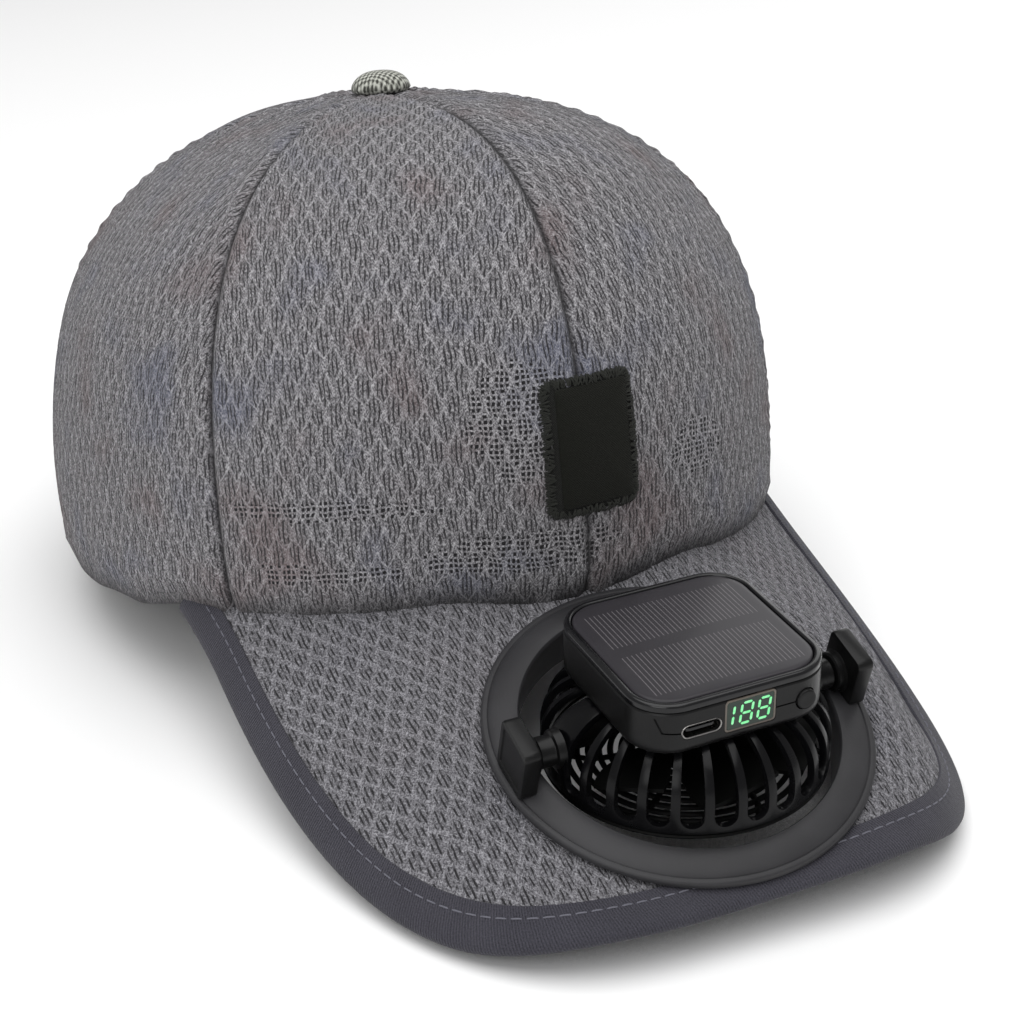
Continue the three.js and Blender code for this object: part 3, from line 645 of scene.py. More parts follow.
def lifted(outline: Points, height: float) -> Points:
    """Sets a flat outline at a height."""
    return np.c_[outline, np.full(len(outline), height)]


def facing(outline: Points, depth: float) -> Points:
    """Sets an outline of width and height in a plane square to Y."""
    return np.c_[outline[:, 0], np.full(len(outline), depth), outline[:, 1]]


def feed(tree: Tree, value: object, entry: Socket) -> None:
    """Gives an input its value.

    Args:
        tree: The node tree.
        value: A wire or a socket, which is linked, or a number or a colour, which is set.
        entry: The input.
    """
    source = value.socket if isinstance(value, Wire) else value
    if isinstance(source, Socket):
        tree.links.new(source, entry)
    else:
        entry.default_value = (*source, 1.0) if isinstance(source, tuple) else source


class Wire:
    """A number in a node tree. Arithmetic on it adds Math nodes."""

    def __init__(self, tree: Tree, socket: Socket) -> None:
        """Wraps a socket of a tree."""
        self.tree = tree
        self.socket = socket

    def math(self, operation: str, *others: "Wire | float") -> "Wire":
        """Adds one Math node.

        Args:
            operation: Blender's name of the operation.
            others: The further inputs.

        Returns:
            The result.
        """
        node = self.tree.nodes.new("ShaderNodeMath")
        node.operation = operation
        for value, entry in zip((self, *others), node.inputs):
            feed(self.tree, value, entry)
        return Wire(self.tree, node.outputs[0])

    def __add__(self, other: "Wire | float") -> "Wire":
        """Adds."""
        return self.math("ADD", other)

    def __sub__(self, other: "Wire | float") -> "Wire":
        """Subtracts."""
        return self.math("SUBTRACT", other)

    def __mul__(self, other: "Wire | float") -> "Wire":
        """Multiplies."""
        return self.math("MULTIPLY", other)

    def wave(self, period: float) -> "Wire":
        """A cosine from -1 to 1 of a distance."""
        return (self * (FULL_TURN / period)).math("COSINE")

    def repeat(self, period: float, shift: float) -> "Wire":
        """Distance from the middle of the nearest repeat."""
        return ((self * (1.0 / period) + shift).math("FRACT") - 0.5) * period

    def step(self, low: float, high: float) -> "Wire":
        """Eases from 0 at low to 1 at high, or back where low is above high."""
        node = self.tree.nodes.new("ShaderNodeMapRange")
        node.interpolation_type = "SMOOTHSTEP"
        flip = low > high
        ends = {"From Min": min(low, high), "From Max": max(low, high), "To Min": flip, "To Max": not flip}
        for key, value in ends.items():
            node.inputs[key].default_value = float(value)
        feed(self.tree, self, node.inputs["Value"])
        return Wire(self.tree, node.outputs["Result"])


class Finish:
    """Builds one material's nodes."""

    def __init__(self, name: str, roughness: float, **sockets: float) -> None:
        """Starts a material with one principled shader.

        Args:
            name: Name of the material.
            roughness: Its roughness.
            sockets: Values of further sockets, with underscores for spaces.
        """
        self.material = bpy.data.materials.new(name)
        self.material.use_nodes = True
        self.tree = self.material.node_tree
        self.shader = self.tree.nodes["Principled BSDF"]
        self.shader.inputs["Roughness"].default_value = roughness
        for key, value in sockets.items():
            self.shader.inputs[key.replace("_", " ")].default_value = value

    def add(self, kind: str, output: str, **entries: object) -> Socket:
        """Adds a node.

        Args:
            kind: Blender's name of the node.
            output: Name of the output wanted.
            entries: Values of its inputs, by name.

        Returns:
            The output.
        """
        node = self.tree.nodes.new(kind)
        for key, value in entries.items():
            feed(self.tree, value, node.inputs[key])
        return node.outputs[output]

    def cloth(self) -> tuple[Wire, Wire]:
        """Distances across and along the cloth, in millimetres."""
        chart = self.tree.nodes.new("ShaderNodeUVMap")
        chart.uv_map = "cloth"
        split = self.tree.nodes.new("ShaderNodeSeparateXYZ")
        self.tree.links.new(chart.outputs["UV"], split.inputs["Vector"])
        return Wire(self.tree, split.outputs["X"]), Wire(self.tree, split.outputs["Y"])

    def marked(self, name: str) -> Wire:
        """A number stored on the mesh's points."""
        node = self.tree.nodes.new("ShaderNodeAttribute")
        node.attribute_name = name
        return Wire(self.tree, node.outputs["Fac"])

    def place(self) -> Socket:
        """Places on the piece, in metres."""
        return self.tree.nodes.new("ShaderNodeTexCoord").outputs["Object"]

    def joined(self, x: Wire, y: Wire) -> Socket:
        """A vector of two numbers."""
        return self.add("ShaderNodeCombineXYZ", "Vector", X=x, Y=y)

    def noise(self, vector: Socket, scale: float, detail: float = 2.0) -> Wire:
        """Smooth noise from 0 to 1, with so many cells for each unit of the vector."""
        noise = self.add("ShaderNodeTexNoise", "Fac", Scale=scale, Detail=detail, Vector=vector)
        return Wire(self.tree, noise)

    def open_air(self, reach: float, samples: int = 16) -> Wire:
        """How open the surface is: 1 with nothing near it, 0 where it is closed in.

        Args:
            reach: How far away something still counts, in metres.
            samples: Number of directions looked along.

        Returns:
            The share of open directions.
        """
        node = self.tree.nodes.new("ShaderNodeAmbientOcclusion")
        node.samples = samples
        node.inputs["Distance"].default_value = reach
        return Wire(self.tree, node.outputs["AO"])

    def mix(self, share: Wire, first: object, second: object) -> Socket:
        """Mixes two colours.

        Args:
            share: Share of the second.
            first: A colour or a colour socket.
            second: A colour or a colour socket.

        Returns:
            The mixed colour.
        """
        node = self.tree.nodes.new("ShaderNodeMix")
        node.data_type = "RGBA"
        for slot, value in (("Factor", share), (6, first), (7, second)):
            feed(self.tree, value, node.inputs[slot])
        return node.outputs[2]

    def colour(self, value: object) -> None:
        """Sets the base colour."""
        feed(self.tree, value, self.shader.inputs["Base Color"])

    def relief(self, height: Wire, depth: float) -> None:
        """Adds bump of a relief from 0 to 1, with its depth in millimetres."""
        normal = self.add("ShaderNodeBump", "Normal", Distance=depth * MM, Height=height)
        feed(self.tree, normal, self.shader.inputs["Normal"])

    def roughness(self, value: Wire) -> None:
        """Sets a roughness that varies."""
        feed(self.tree, value, self.shader.inputs["Roughness"])


@dataclass(frozen=True)
class MeshKnit:
    """Grey air-mesh knit with staggered leaf cells."""

    name: str
    cell: KnitCell
    ground: Colour
    thread: Colour
    # Darkest colour: the knit's strokes and leaf middles, and on the crown painted shade in the seams, at
    # the hem and in the open knit's holes.
    stroke_and_shade: Colour
    stroke_depth: float
    outline: float
    tint: float
    slant: float
    crown: bool = False

    def make(self) -> Material:
        """Builds the material."""
        finish = Finish(self.name, 0.92, Sheen_Weight=0.08, Sheen_Roughness=0.6, Specular_IOR_Level=0.2)
        across, along = finish.cloth()
        spot = finish.joined(across, along)
        waver = (finish.noise(spot, 0.22, 1.0) - 0.5) * 2.0
        inside, strokes, rim, holes = self._leaves(across + waver * self.slant, along + waver * 0.6)
        wander = finish.noise(spot, 0.16, 2.0)
        fuzz = finish.noise(finish.joined(across, along * 0.6), 3.4, 2.0)
        slant = finish.noise(finish.joined(across + along * 0.7, (along - across) * 0.22), 2.4, 1.0)
        back_slant = finish.noise(finish.joined(across - along * 0.7, (along + across) * 0.22), 2.4, 1.0)
        hatch = slant.math("MAXIMUM", back_slant).step(0.52, 0.66)
        speckle = fuzz.step(0.38, 0.62) * 0.5 + hatch * 0.5
        base = finish.mix(speckle, self.ground, self.thread)
        blotch = finish.noise(spot, 0.03, 2.0)
        warm = finish.mix(blotch.step(0.5, 0.7) * self.tint, base, (0.17, 0.105, 0.10))
        tinted = finish.mix(blotch.step(0.46, 0.28) * self.tint, warm, (0.09, 0.11, 0.19))
        broken = finish.noise(finish.joined(across * 1.6, along * 0.5), 0.9, 1.0).step(0.32, 0.55)
        dark = (strokes * (broken * 0.75 + 0.25) * self.stroke_depth).math("MAXIMUM", inside * 0.18)
        # Painted shade on the crown: the open spots' holes and the creases along the seams and the hem are
        # darkened.
        if self.crown:
            ragged = finish.marked("open_knit") + (finish.noise(spot, 0.2, 0.0) - 0.5) * 1.2
            gaps = ragged.step(0.45, 0.55)
            dark = (dark * (gaps * -0.9 + 1.0)).math("MAXIMUM", holes * gaps)
            dark = dark.math("MAXIMUM", finish.marked("crease_shade") * 0.9)
        # Mixes in the darkest colour: the knit's strokes, and on the crown the painted shade above.
        stroked_and_shaded = finish.mix(dark, tinted, self.stroke_and_shade)
        pale = tuple(1.7 * part for part in self.thread)
        edge = rim * (wander.step(0.58, 0.44) * 0.85 + 0.15) * self.outline
        finish.colour(finish.mix(edge, stroked_and_shaded, pale))
        finish.relief(inside * 0.2 + speckle * 0.45 - dark * 0.7 + rim * 0.3, 0.5)
        return finish.material

    def _leaves(self, across: Wire, along: Wire) -> tuple[Wire, Wire, Wire, Wire]:
        """The leaves of both staggered rows.

        Args:
            across: Distance across the cloth.
            along: Distance along the cloth.

        Returns:
            The leaves' inside, their dark strokes, their lower rim and their holes.
        """
        cell = self.cell
        parts: list[Wire] = []
        for shift in (0.0, 0.5):
            x = across.repeat(cell.width, shift)
            y = along.repeat(cell.length, shift)
            bow = (y * (1.0 / cell.half_length)).math("POWER", 2.0)
            edge = x.math("ABSOLUTE") * (1.0 / cell.half_width) + bow
            inside = edge.step(1.05, 0.75)
            period = 2.0 * cell.half_width / cell.strokes
            strokes = x.wave(period).step(0.0, 0.7) * inside
            rim = (edge - 1.05).math("ABSOLUTE").step(0.20, 0.04) * y.step(0.4, -0.8)
            pane = x.wave(1.15).step(-0.55, -0.05) * y.wave(1.2).step(-0.55, -0.05)
            found = [inside, strokes, rim, pane * inside]
            parts = found if not parts else [a.math("MAXIMUM", b) for a, b in zip(parts, found)]
        return parts[0], parts[1], parts[2], parts[3]


@dataclass(frozen=True)
class TwillTape:
    """Slate twill tape with fine ribs across it."""

    name: str = "binding_twill"
    light: Colour = (0.067, 0.065, 0.083)
    dark: Colour = (0.009, 0.0085, 0.0125)

    def make(self) -> Material:
        """Builds the material."""
        finish = Finish(self.name, 0.85, Sheen_Weight=0.1, Specular_IOR_Level=0.25)
        across, along = finish.cloth()
        rib = (along + across * 0.35).wave(0.62).step(-0.7, 0.7)
        spot = finish.joined(across, along)
        fuzz, worn = finish.noise(spot, 3.2, 2.0), finish.noise(spot, 0.09, 2.0)
        share = rib * 0.25 + fuzz.step(0.3, 0.7) * 0.5 + worn * 0.3 - 0.05
        finish.colour(finish.mix(share, self.dark, self.light))
        finish.relief(rib * 0.6 + fuzz * 0.4, 0.16)
        return finish.material


@dataclass(frozen=True)
class FineCloth:
    """Close woven or sewn cloth."""

    name: str
    light: Colour
    dark: Colour
    pitch: float
    sheen: float = 0.1

    def make(self) -> Material:
        """Builds the material."""
        finish = Finish(self.name, 0.9, Sheen_Weight=self.sheen, Specular_IOR_Level=0.2)
        across, along = finish.cloth()
        weave = across.wave(self.pitch) * along.wave(self.pitch)
        fuzz = finish.noise(finish.joined(across, along), 2.2, 3.0)
        share = weave * 0.25 + fuzz * 0.75
        finish.colour(finish.mix(share.step(0.15, 0.7), self.dark, self.light))
        finish.relief(weave * 0.4 + fuzz * 0.6, 0.18)
        return finish.material


@dataclass(frozen=True)
class Plastic:
    """Moulded plastic with a fine grain."""

    name: str
    base: Colour
    rub: Colour
    rough: float
    grain: float
    shine: float
    coat: float = 0.0

    def make(self) -> Material:
        """Builds the material."""
        sockets = {"Specular_IOR_Level": self.shine, "Coat_Weight": self.coat, "Coat_Roughness": 0.08}
        finish = Finish(self.name, self.rough, **sockets)
        spot = finish.place()
        fine = finish.noise(spot, 2600.0, 2.0)
        broad = finish.noise(spot, 70.0, 3.0)
        finish.colour(finish.mix(broad.step(0.35, 0.75), self.base, self.rub))
        finish.roughness(broad * 0.16 + fine * 0.06 + (self.rough - 0.11))
        finish.relief(fine, self.grain)
        return finish.material


@dataclass(frozen=True)
class SolarGlass:
    """Solar cells with fine pale lines, in two groups, under a clear coat."""

    name: str = "solar_cells"
    cell: Colour = (0.0185, 0.017, 0.02)
    line: Colour = (0.115, 0.107, 0.115)
    pitch: float = 1.0
    line_width: float = 0.13
    line_fade: float = 0.3
    half_width: float = 16.6
    front_end: float = -16.2
    back_end: float = 14.6
    half_gap: float = 1.6

    def make(self) -> Material:
        """Builds the material."""
        coat = {"Coat_Weight": 0.22, "Coat_Roughness": 0.12, "Coat_IOR": 1.35}
        finish = Finish(self.name, 0.42, Specular_IOR_Level=0.18, **coat)
        across, along = finish.cloth()
        stripe = across.repeat(self.pitch, 0.5).math("ABSOLUTE")
        stripe = stripe.step(self.line_width, 0.4 * self.line_width)
        gap, fade = self.half_gap, self.line_fade
        front = along.step(self.front_end, self.front_end + fade) * along.step(-gap, -gap - fade)
        back = along.step(gap, gap + fade) * along.step(self.back_end, self.back_end - fade)
        inside = across.math("ABSOLUTE").step(self.half_width, self.half_width - fade)
        broken = finish.noise(finish.joined(across * 3.0, along * 1.2), 1.4, 2.0).step(0.2, 0.6)
        lines = stripe * (front + back) * inside * (broken * 0.5 + 0.5)
        haze = finish.noise(finish.joined(across, along), 0.12, 2.0)
        ground = finish.mix(haze, self.cell, tuple(1.5 * part for part in self.cell))
        finish.colour(finish.mix(lines, ground, self.line))
        finish.relief(lines, 0.03)
        return finish.material


@dataclass(frozen=True)
class Glow:
    """Lit digits."""

    name: str = "digit_light"
    colour: Colour = (0.16, 0.85, 0.28)
    unlit: Colour = (0.05, 0.2, 0.1)
    strength: float = 0.85

    def make(self) -> Material:
        """Builds the material."""
        finish = Finish(self.name, 0.4)
        spot = finish.noise(finish.place(), 1800.0, 1.0)
        pale = tuple(0.3 + 0.7 * part for part in self.colour)
        shade = finish.mix(spot.step(0.3, 0.8), self.colour, pale)
        finish.colour(self.unlit)
        feed(finish.tree, shade, finish.shader.inputs["Emission Color"])
        feed(finish.tree, self.strength, finish.shader.inputs["Emission Strength"])
        return finish.material


@dataclass(frozen=True)
class PortSteel:
    """Dark drawn steel of the port's sleeve."""

    name: str = "port_steel"
    base: Colour = (0.32, 0.31, 0.30)

    def make(self) -> Material:
        """Builds the material."""
        finish = Finish(self.name, 0.3, Metallic=1.0)
        drawn = finish.noise(finish.place(), 1500.0, 2.0)
        finish.colour(finish.mix(drawn, tuple(0.7 * part for part in self.base), self.base))
        finish.roughness(drawn * 0.2 + 0.2)
        return finish.material


class Finishes:
    """Every material, made once."""

    def __init__(self) -> None:
        """Makes the materials."""
        self.crown = MeshKnit(
            "crown_knit", CROWN_CELL, (0.072, 0.068, 0.074), (0.47, 0.46, 0.48), (0.011, 0.010, 0.012),
            stroke_depth=0.9, outline=0.13, tint=0.45, slant=0.8, crown=True,
        ).make()
        self.bill = MeshKnit(
            "bill_knit", BILL_CELL, (0.072, 0.070, 0.078), (0.335, 0.33, 0.355), (0.009, 0.009, 0.0105),
            stroke_depth=0.95, outline=0.03, tint=0.05, slant=0.3,
        ).make()
        self.button_cloth = FineCloth("button_knit", (0.56, 0.57, 0.51), (0.04, 0.04, 0.034), 1.5).make()
        self.binding = TwillTape().make()
        self.thread = FineCloth("pale_thread", (0.13, 0.13, 0.155), (0.06, 0.06, 0.075), 0.5).make()
        self.patch = FineCloth(
            "patch_weave", (0.0075, 0.0082, 0.0052), (0.0035, 0.0038, 0.0024), pitch=0.55, sheen=0.04
        ).make()
        self.patch_thread = FineCloth(
            "patch_overlock", (0.016, 0.017, 0.014), (0.003, 0.003, 0.003), pitch=0.5
        ).make()
        self.matte = Plastic(
            "matte_charcoal", (0.021, 0.0205, 0.0225), (0.029, 0.0285, 0.031), 0.50, 0.03, 0.32
        ).make()
        self.satin = Plastic(
            "satin_black", (0.0042, 0.0042, 0.0043), (0.0075, 0.0075, 0.0077), 0.32, 0.02, 0.2
        ).make()
        self.gloss = Plastic(
            "gloss_black", (0.0025, 0.0025, 0.003), (0.005, 0.005, 0.006), 0.2, 0.004, 0.3, coat=0.12
        ).make()
        self.rib = Plastic(
            "rib_black", (0.002, 0.002, 0.0024), (0.004, 0.004, 0.0045), 0.24, 0.004, 0.16
        ).make()
        self.inner = Plastic(
            "inner_black", (0.0012, 0.0014, 0.0012), (0.003, 0.003, 0.003), 0.5, 0.02, 0.08
        ).make()
        self.solar = SolarGlass().make()
        self.window = Plastic(
            "window_glass", (0.004, 0.016, 0.009), (0.006, 0.022, 0.013), 0.2, 0.0, 0.3, coat=0.3
        ).make()
        self.trim = Plastic(
            "window_trim", (0.10, 0.085, 0.075), (0.14, 0.12, 0.10), 0.35, 0.01, 0.4
        ).make()
        self.digits = Glow().make()
        self.port = PortSteel().make()


def dress(
    piece: Piece,
    material: Material,
    body: Body,
    slot: Slot,
    *nodes: str,
) -> Piece:
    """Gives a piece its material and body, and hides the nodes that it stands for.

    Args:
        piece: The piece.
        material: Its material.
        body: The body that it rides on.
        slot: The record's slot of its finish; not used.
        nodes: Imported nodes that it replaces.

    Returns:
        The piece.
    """
    piece.data.materials.clear()
    piece.data.materials.append(material)
    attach(piece, body.value)
    if nodes:
        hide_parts(*nodes)
    LOG.info("%s: %d faces on %s", piece.name, len(piece.data.polygons), body.value)
    return piece


@dataclass
class HatPart:
    """What every sub-assembly holds: the hat's sizes, its own frame and the finishes."""

    shape: HatShape
    place: Matrix
    finishes: Finishes

    def lofted(
        self, name: str, loops: Sequence[Points], sharp: float = 40.0, cloth: Points | None = None
    ) -> Piece:
        """Builds a piece of closed loops joined in order.

        Args:
            name: Name of the piece.
            loops: The loops.
            sharp: Angle in degrees past which an edge isn't shaded smooth.
            cloth: Distances across and along the cloth for each point.

        Returns:
            The piece.
        """
        sketch = MeshSketch(self.place)
        sketch.loft(loops, cloth=cloth)
        return sketch.build(name, sharp=sharp)

    def ringed(
        self, name: str, loops: Sequence[Points], sharp: float, merge: float = 0.01
    ) -> Piece:
        """Builds a piece of closed loops joined in order, and the last to the first.

        Args:
            name: Name of the piece.
            loops: The loops.
            sharp: Angle in degrees past which an edge isn't shaded smooth.
            merge: Distance in millimetres under which points become one.

        Returns:
            The piece.
        """
        sketch = MeshSketch(self.place)
        sketch.ring_loft(loops)
        return sketch.build(name, merge, sharp)


@dataclass
class Crown(HatPart):
    """Six knit panels and the button at the apex."""

    seams: tuple[float, ...] = (0.0, 52.0, 118.0, 180.0)
    tip_radius: float = 3.0
    cell: float = 1.15
    arc_share: float = 1.62
    girth_share: float = 1.08
    least_wall: float = 0.7
    rim_wall: float = 0.35
    seam_fold: float = 1.0
    seam_fold_width: float = 1.2
    seam_hollow: float = 0.35
    seam_ridge: float = 0.38
    seam_ridge_from: float = 3.0
    seam_ridge_width: float = 1.6
    crease_width: float = 0.75
    hem_crease_width: float = 0.9
    pucker: float = 0.55
    pucker_pitch: float = 5.6
    ruck: float = 0.35
    ruck_height: float = 5.0
    hem_round: float = 1.9
    knit_depth: float = 0.26
    sway: float = 0.375
    open_spots: tuple[tuple[tuple[float, float], tuple[float, float]], ...] = (
        ((-13.0, 53.0), (13.0, 14.0)),
        ((-50.0, 36.0), (22.0, 2.6)),
        ((-52.0, 22.0), (17.0, 2.4)),
        ((-14.0, 25.0), (24.0, 5.0)),
        ((30.0, 40.0), (9.0, 7.0)),
    )
    button_radius: float = 7.3
    button_height: float = 5.2
    button_edge: float = 0.9
    button_steps: int = 96
    button_rings: int = 22

    def build(self) -> None:
        """Builds and dresses the pieces."""
        names = ("front", "side", "back")
        for part, start, end in zip(names, self.seams[:-1], self.seams[1:]):
            self._panel(f"crown_{part}_left", start, end)
            self._panel(f"crown_{part}_right", -end, -start)
        self._button()

    def _panel(self, node: str, start: float, end: float) -> None:
        """Builds one panel between two seams.

        Args:
            node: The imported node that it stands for.
            start: Angle of one seam, in degrees.
            end: Angle of the other.
        """
        low, high = math.radians(start), math.radians(end)
        middle = (low + high) / 2
        rows = int(self.arc_share * self.shape.crown_height / self.cell)
        columns = int((high - low) * self.shape.head_half_width * self.girth_share / self.cell)
        share = np.linspace(0.0, 1.0, rows)[:, None] * np.ones((1, columns))
        theta = np.linspace(low, high, columns)[None, :] * np.ones((rows, 1))
        turn = self.shape.turn_at_radius(theta, self.tip_radius) * share
        surface = self.shape.crown_point(theta, turn)
        normal = self.shape.crown_normal(theta, turn)
        rise = np.linalg.norm(np.diff(surface, axis=0), axis=2)
        along = np.r_[np.zeros((1, columns)), np.cumsum(rise, axis=0)]
        round_it = np.linalg.norm(np.diff(surface, axis=1), axis=2)
        across = np.c_[np.zeros((rows, 1)), np.cumsum(round_it, axis=1)]
        width = across[:, -1:].copy()
        across -= width / 2
        along = along[:, columns // 2][:, None] * np.ones((1, columns))
        edge = np.minimum(across + width / 2, width / 2 - across)
        lift = self._lift(edge, along, across, middle)
        outer = surface + normal * lift[..., None]
        wall = np.maximum(self.shape.crown_wall * smoothstep(-0.6, 2.4, along), self.least_wall)
        inner = surface - normal * (wall + self.seam_fold * self.seam_hollow)[..., None]
        inner[0] = outer[0] - normal[0] * self.rim_wall
        sketch = MeshSketch(self.place)
        sketch.shell(outer, inner, np.stack([across, along], axis=-1))
        piece = sketch.build(f"{node}_cloth", sharp=75.0)
        # Painted shade: the knit's colour darkens along the seams and at the hem, and in the holes of the
        # open spots.
        at_seam = np.exp(-((edge / self.crease_width) ** 2))
        at_hem = 0.8 * np.exp(-((along / self.hem_crease_width) ** 2))
        sketch.mark("crease_shade", np.maximum(at_seam, at_hem), piece)
        sketch.mark("open_knit", self._open_share(surface), piece)
        dress(piece, self.finishes.crown, Body.HAT, Slot.CROWN, node)

    def _open_share(self, surface: Points) -> Points:
        """Share of open mesh at each point, in a few soft spots on the front.

        Args:
            surface: Points of the crown.

        Returns:
            Shares from 0 to 1.
        """
        share = np.zeros(surface.shape[:2])
        for (x, z), (wide, tall) in self.open_spots:
            spread = ((surface[..., 0] - x) / wide) ** 2 + ((surface[..., 2] - z) / tall) ** 2
            share = np.maximum(share, 1.0 - smoothstep(0.5, 1.1, spread))
        return share * (surface[..., 1] < 0.0)

    def _lift(self, edge: Points, along: Points, across: Points, middle: float) -> Points:
        """How far the cloth stands off the plain surface.

        Args:
            edge: Distance from the nearer seam.
            along: Distance from the hem.
            across: Distance from the panel's middle line.
            middle: Angle of the panel's middle.

        Returns:
            The lift at each point, in millimetres.
        """
        pucker = 1.0 + self.pucker * np.sin(along * (FULL_TURN / self.pucker_pitch) + 3.0 * middle)
        fold = -self.seam_fold * np.exp(-((edge / self.seam_fold_width) ** 2))
        off_ridge = (edge - self.seam_ridge_from) / self.seam_ridge_width
        ridge = self.seam_ridge * pucker * np.exp(-(off_ridge**2))
        short = np.clip(self.hem_round - along, 0.0, self.hem_round)
        hem = np.sqrt(np.maximum(self.hem_round**2 - short**2, 0.0)) - self.hem_round
        sway = np.sin(across * 0.083 + 4.0 * middle) * np.sin(along * 0.061 + 2.0 * middle)
        sway += 0.5 * np.sin(across * 0.021 - along * 0.113 + middle)
        calm = smoothstep(0.0, 14.0, along) * smoothstep(0.0, 12.0, edge)
        knit = self.knit_depth * (CROWN_CELL.mask(across, along) - 0.5) * smoothstep(0.6, 3.0, edge)
        knit = knit * smoothstep(0.5, 3.0, along)
        off_ruck = (along - self.ruck_height) / self.ruck_height
        ruck = self.ruck * np.sin(across * 0.42 + middle * 5.0) * np.exp(-(off_ruck**2))
        return fold + ridge + hem + self.sway * sway * calm + knit + ruck * smoothstep(0.5, 4.0, along)

    def _button(self) -> None:
        """Builds the cloth-covered button."""
        angles = round_angles(self.button_steps)[None, :]
        turn = np.linspace(0.0, 1.0, self.button_rings)[:, None] * QUARTER_TURN
        radius = self.button_radius * np.cos(turn) ** 0.8
        folds = 1.0 + 0.02 * np.cos(6 * angles) * np.sin(2 * turn)
        height = self.button_edge + (self.button_height - self.button_edge) * np.sin(turn) ** 1.15
        skin = polar(radius * folds, angles, height)
        under = skin[0] * [0.9, 0.9, 0.0]
        base = np.array([0.0, self.shape.apex_shift, self.shape.crown_height + self.shape.gap])
        loops = np.stack([under, *skin[:-1]]) + base
        piece = self.lofted("crown_button_cloth", loops, 60.0, loops[..., :2])
        dress(piece, self.finishes.button_cloth, Body.HAT, Slot.BUTTON_CLOTH, "crown_button")


@dataclass
class Patch(HatPart):
    """Bare black patch sewn on the front seam."""

    width: float = 20.6
    height: float = 28.8
    corner: float = 2.2
    panel_corner: float = 0.8
    panel_top: float = 1.45
    lift: float = 46.0
    shift: float = 1.2
    panel_left_border: float = 2.9
    panel_border: float = 1.3
    plate_lift: float = 0.1
    plate_top: float = 0.85
    panel_lift: float = 0.8
    panel_play: float = 0.6
    stitch_pitch: float = 0.42
    stitch_radius: float = 0.2

    def on_crown(self, x: Points, z: Points, off: Points) -> Points:
        """Points over the crown's front, seen from the front.

        Args:
            x: Distance to the wearer's left.
            z: Height.
            off: Distance off the cloth.

        Returns:
            The points, in the hat's frame.
        """
        theta = np.arcsin(x / self.shape.head_half_width)
        hem = self.shape.hem_height(np.zeros_like(x))
        rise = np.clip((z - hem) / (self.shape.crown_height - hem), 0.0, 1.0)
        turn = np.arcsin(rise ** (self.shape.rise_front / 2.0))
        return self.shape.crown_point(theta, turn) + self.shape.crown_normal(theta, turn) * off[..., None]

    def build(self) -> None:
        """Builds and dresses the pieces."""
        whole = rounded_rect(self.width, self.height, self.corner, 8)
        base = self._plate("front_patch_base", whole, 0.0, self.plate_lift, self.plate_top)
        dress(base, self.finishes.patch_thread, Body.HAT, Slot.PATCH, "front_patch")
        wide = self.width - self.panel_left_border - self.panel_border
        tall = self.height - 2 * self.panel_border - self.panel_play
        offset = (self.panel_left_border - self.panel_border) / 2
        inner = rounded_rect(wide, tall, self.panel_corner, 8)
        panel = self._plate("front_patch_panel", inner, offset, self.panel_lift, self.panel_top)
        dress(panel, self.finishes.patch, Body.HAT, Slot.PATCH)
        dress(self._overlock(), self.finishes.patch_thread, Body.HAT, Slot.PATCH)

    def _plate(self, name: str, outline: Points, shift: float, low: float, high: float) -> Piece:
        """A plate that follows the crown, with an eased edge.

        Args:
            name: Name of the piece.
            outline: Its outline, width and height.
            shift: Shift to the wearer's left of the patch's middle.
            low: Underside's distance off the cloth.
            high: Top's distance off the cloth.

        Returns:
            The piece.
        """
        levels = [(1.0, low), (1.0, high - 0.25), (0.99, high - 0.08), (0.97, high)]
        levels += [(share, high) for share in (0.8, 0.6, 0.4, 0.2, 0.05)]
        flats = [outline * share for share, _ in levels]
        loops = []
        for flat, (_, off) in zip(flats, levels):
            x, z = flat[:, 0] + self.shift + shift, flat[:, 1] + self.lift
            loops.append(self.on_crown(x, z, np.full(len(flat), off)))
        return self.lofted(name, loops, 50.0, np.concatenate(flats))

    def _overlock(self) -> Piece:
        """Short threads wound over the patch's edge."""
        rng = np.random.default_rng(7)
        outline = rounded_rect(self.width, self.height, self.corner, 10)
        closed = np.r_[outline, outline[:1]]
        line = resample(closed, int(run_along(closed)[-1] / self.stitch_pitch))[:-1]
        tangent = unit_rows(np.roll(line, -1, axis=0) - np.roll(line, 1, axis=0))
        outwards = np.stack([tangent[:, 1], -tangent[:, 0]], axis=-1)
        sketch = MeshSketch(self.place)
        for centre, away, along in zip(line, outwards, tangent):
            slant = rng.uniform(-0.7, 0.7)
            spans = np.linspace(-1.35 + rng.uniform(-0.3, 0.3), 0.3 + rng.uniform(-0.15, 0.35), 6)
            flat = centre + spans[:, None] * away + spans[:, None] * slant * along
            off = np.array([0.95, 1.05, 1.1, 1.05, 0.75, 0.25]) + rng.uniform(-0.06, 0.1)
            points = self.on_crown(flat[:, 0] + self.shift, flat[:, 1] + self.lift, off)
            sketch.tube(points, self.stitch_radius, sides=5)
        return sketch.build("front_patch_overlock")


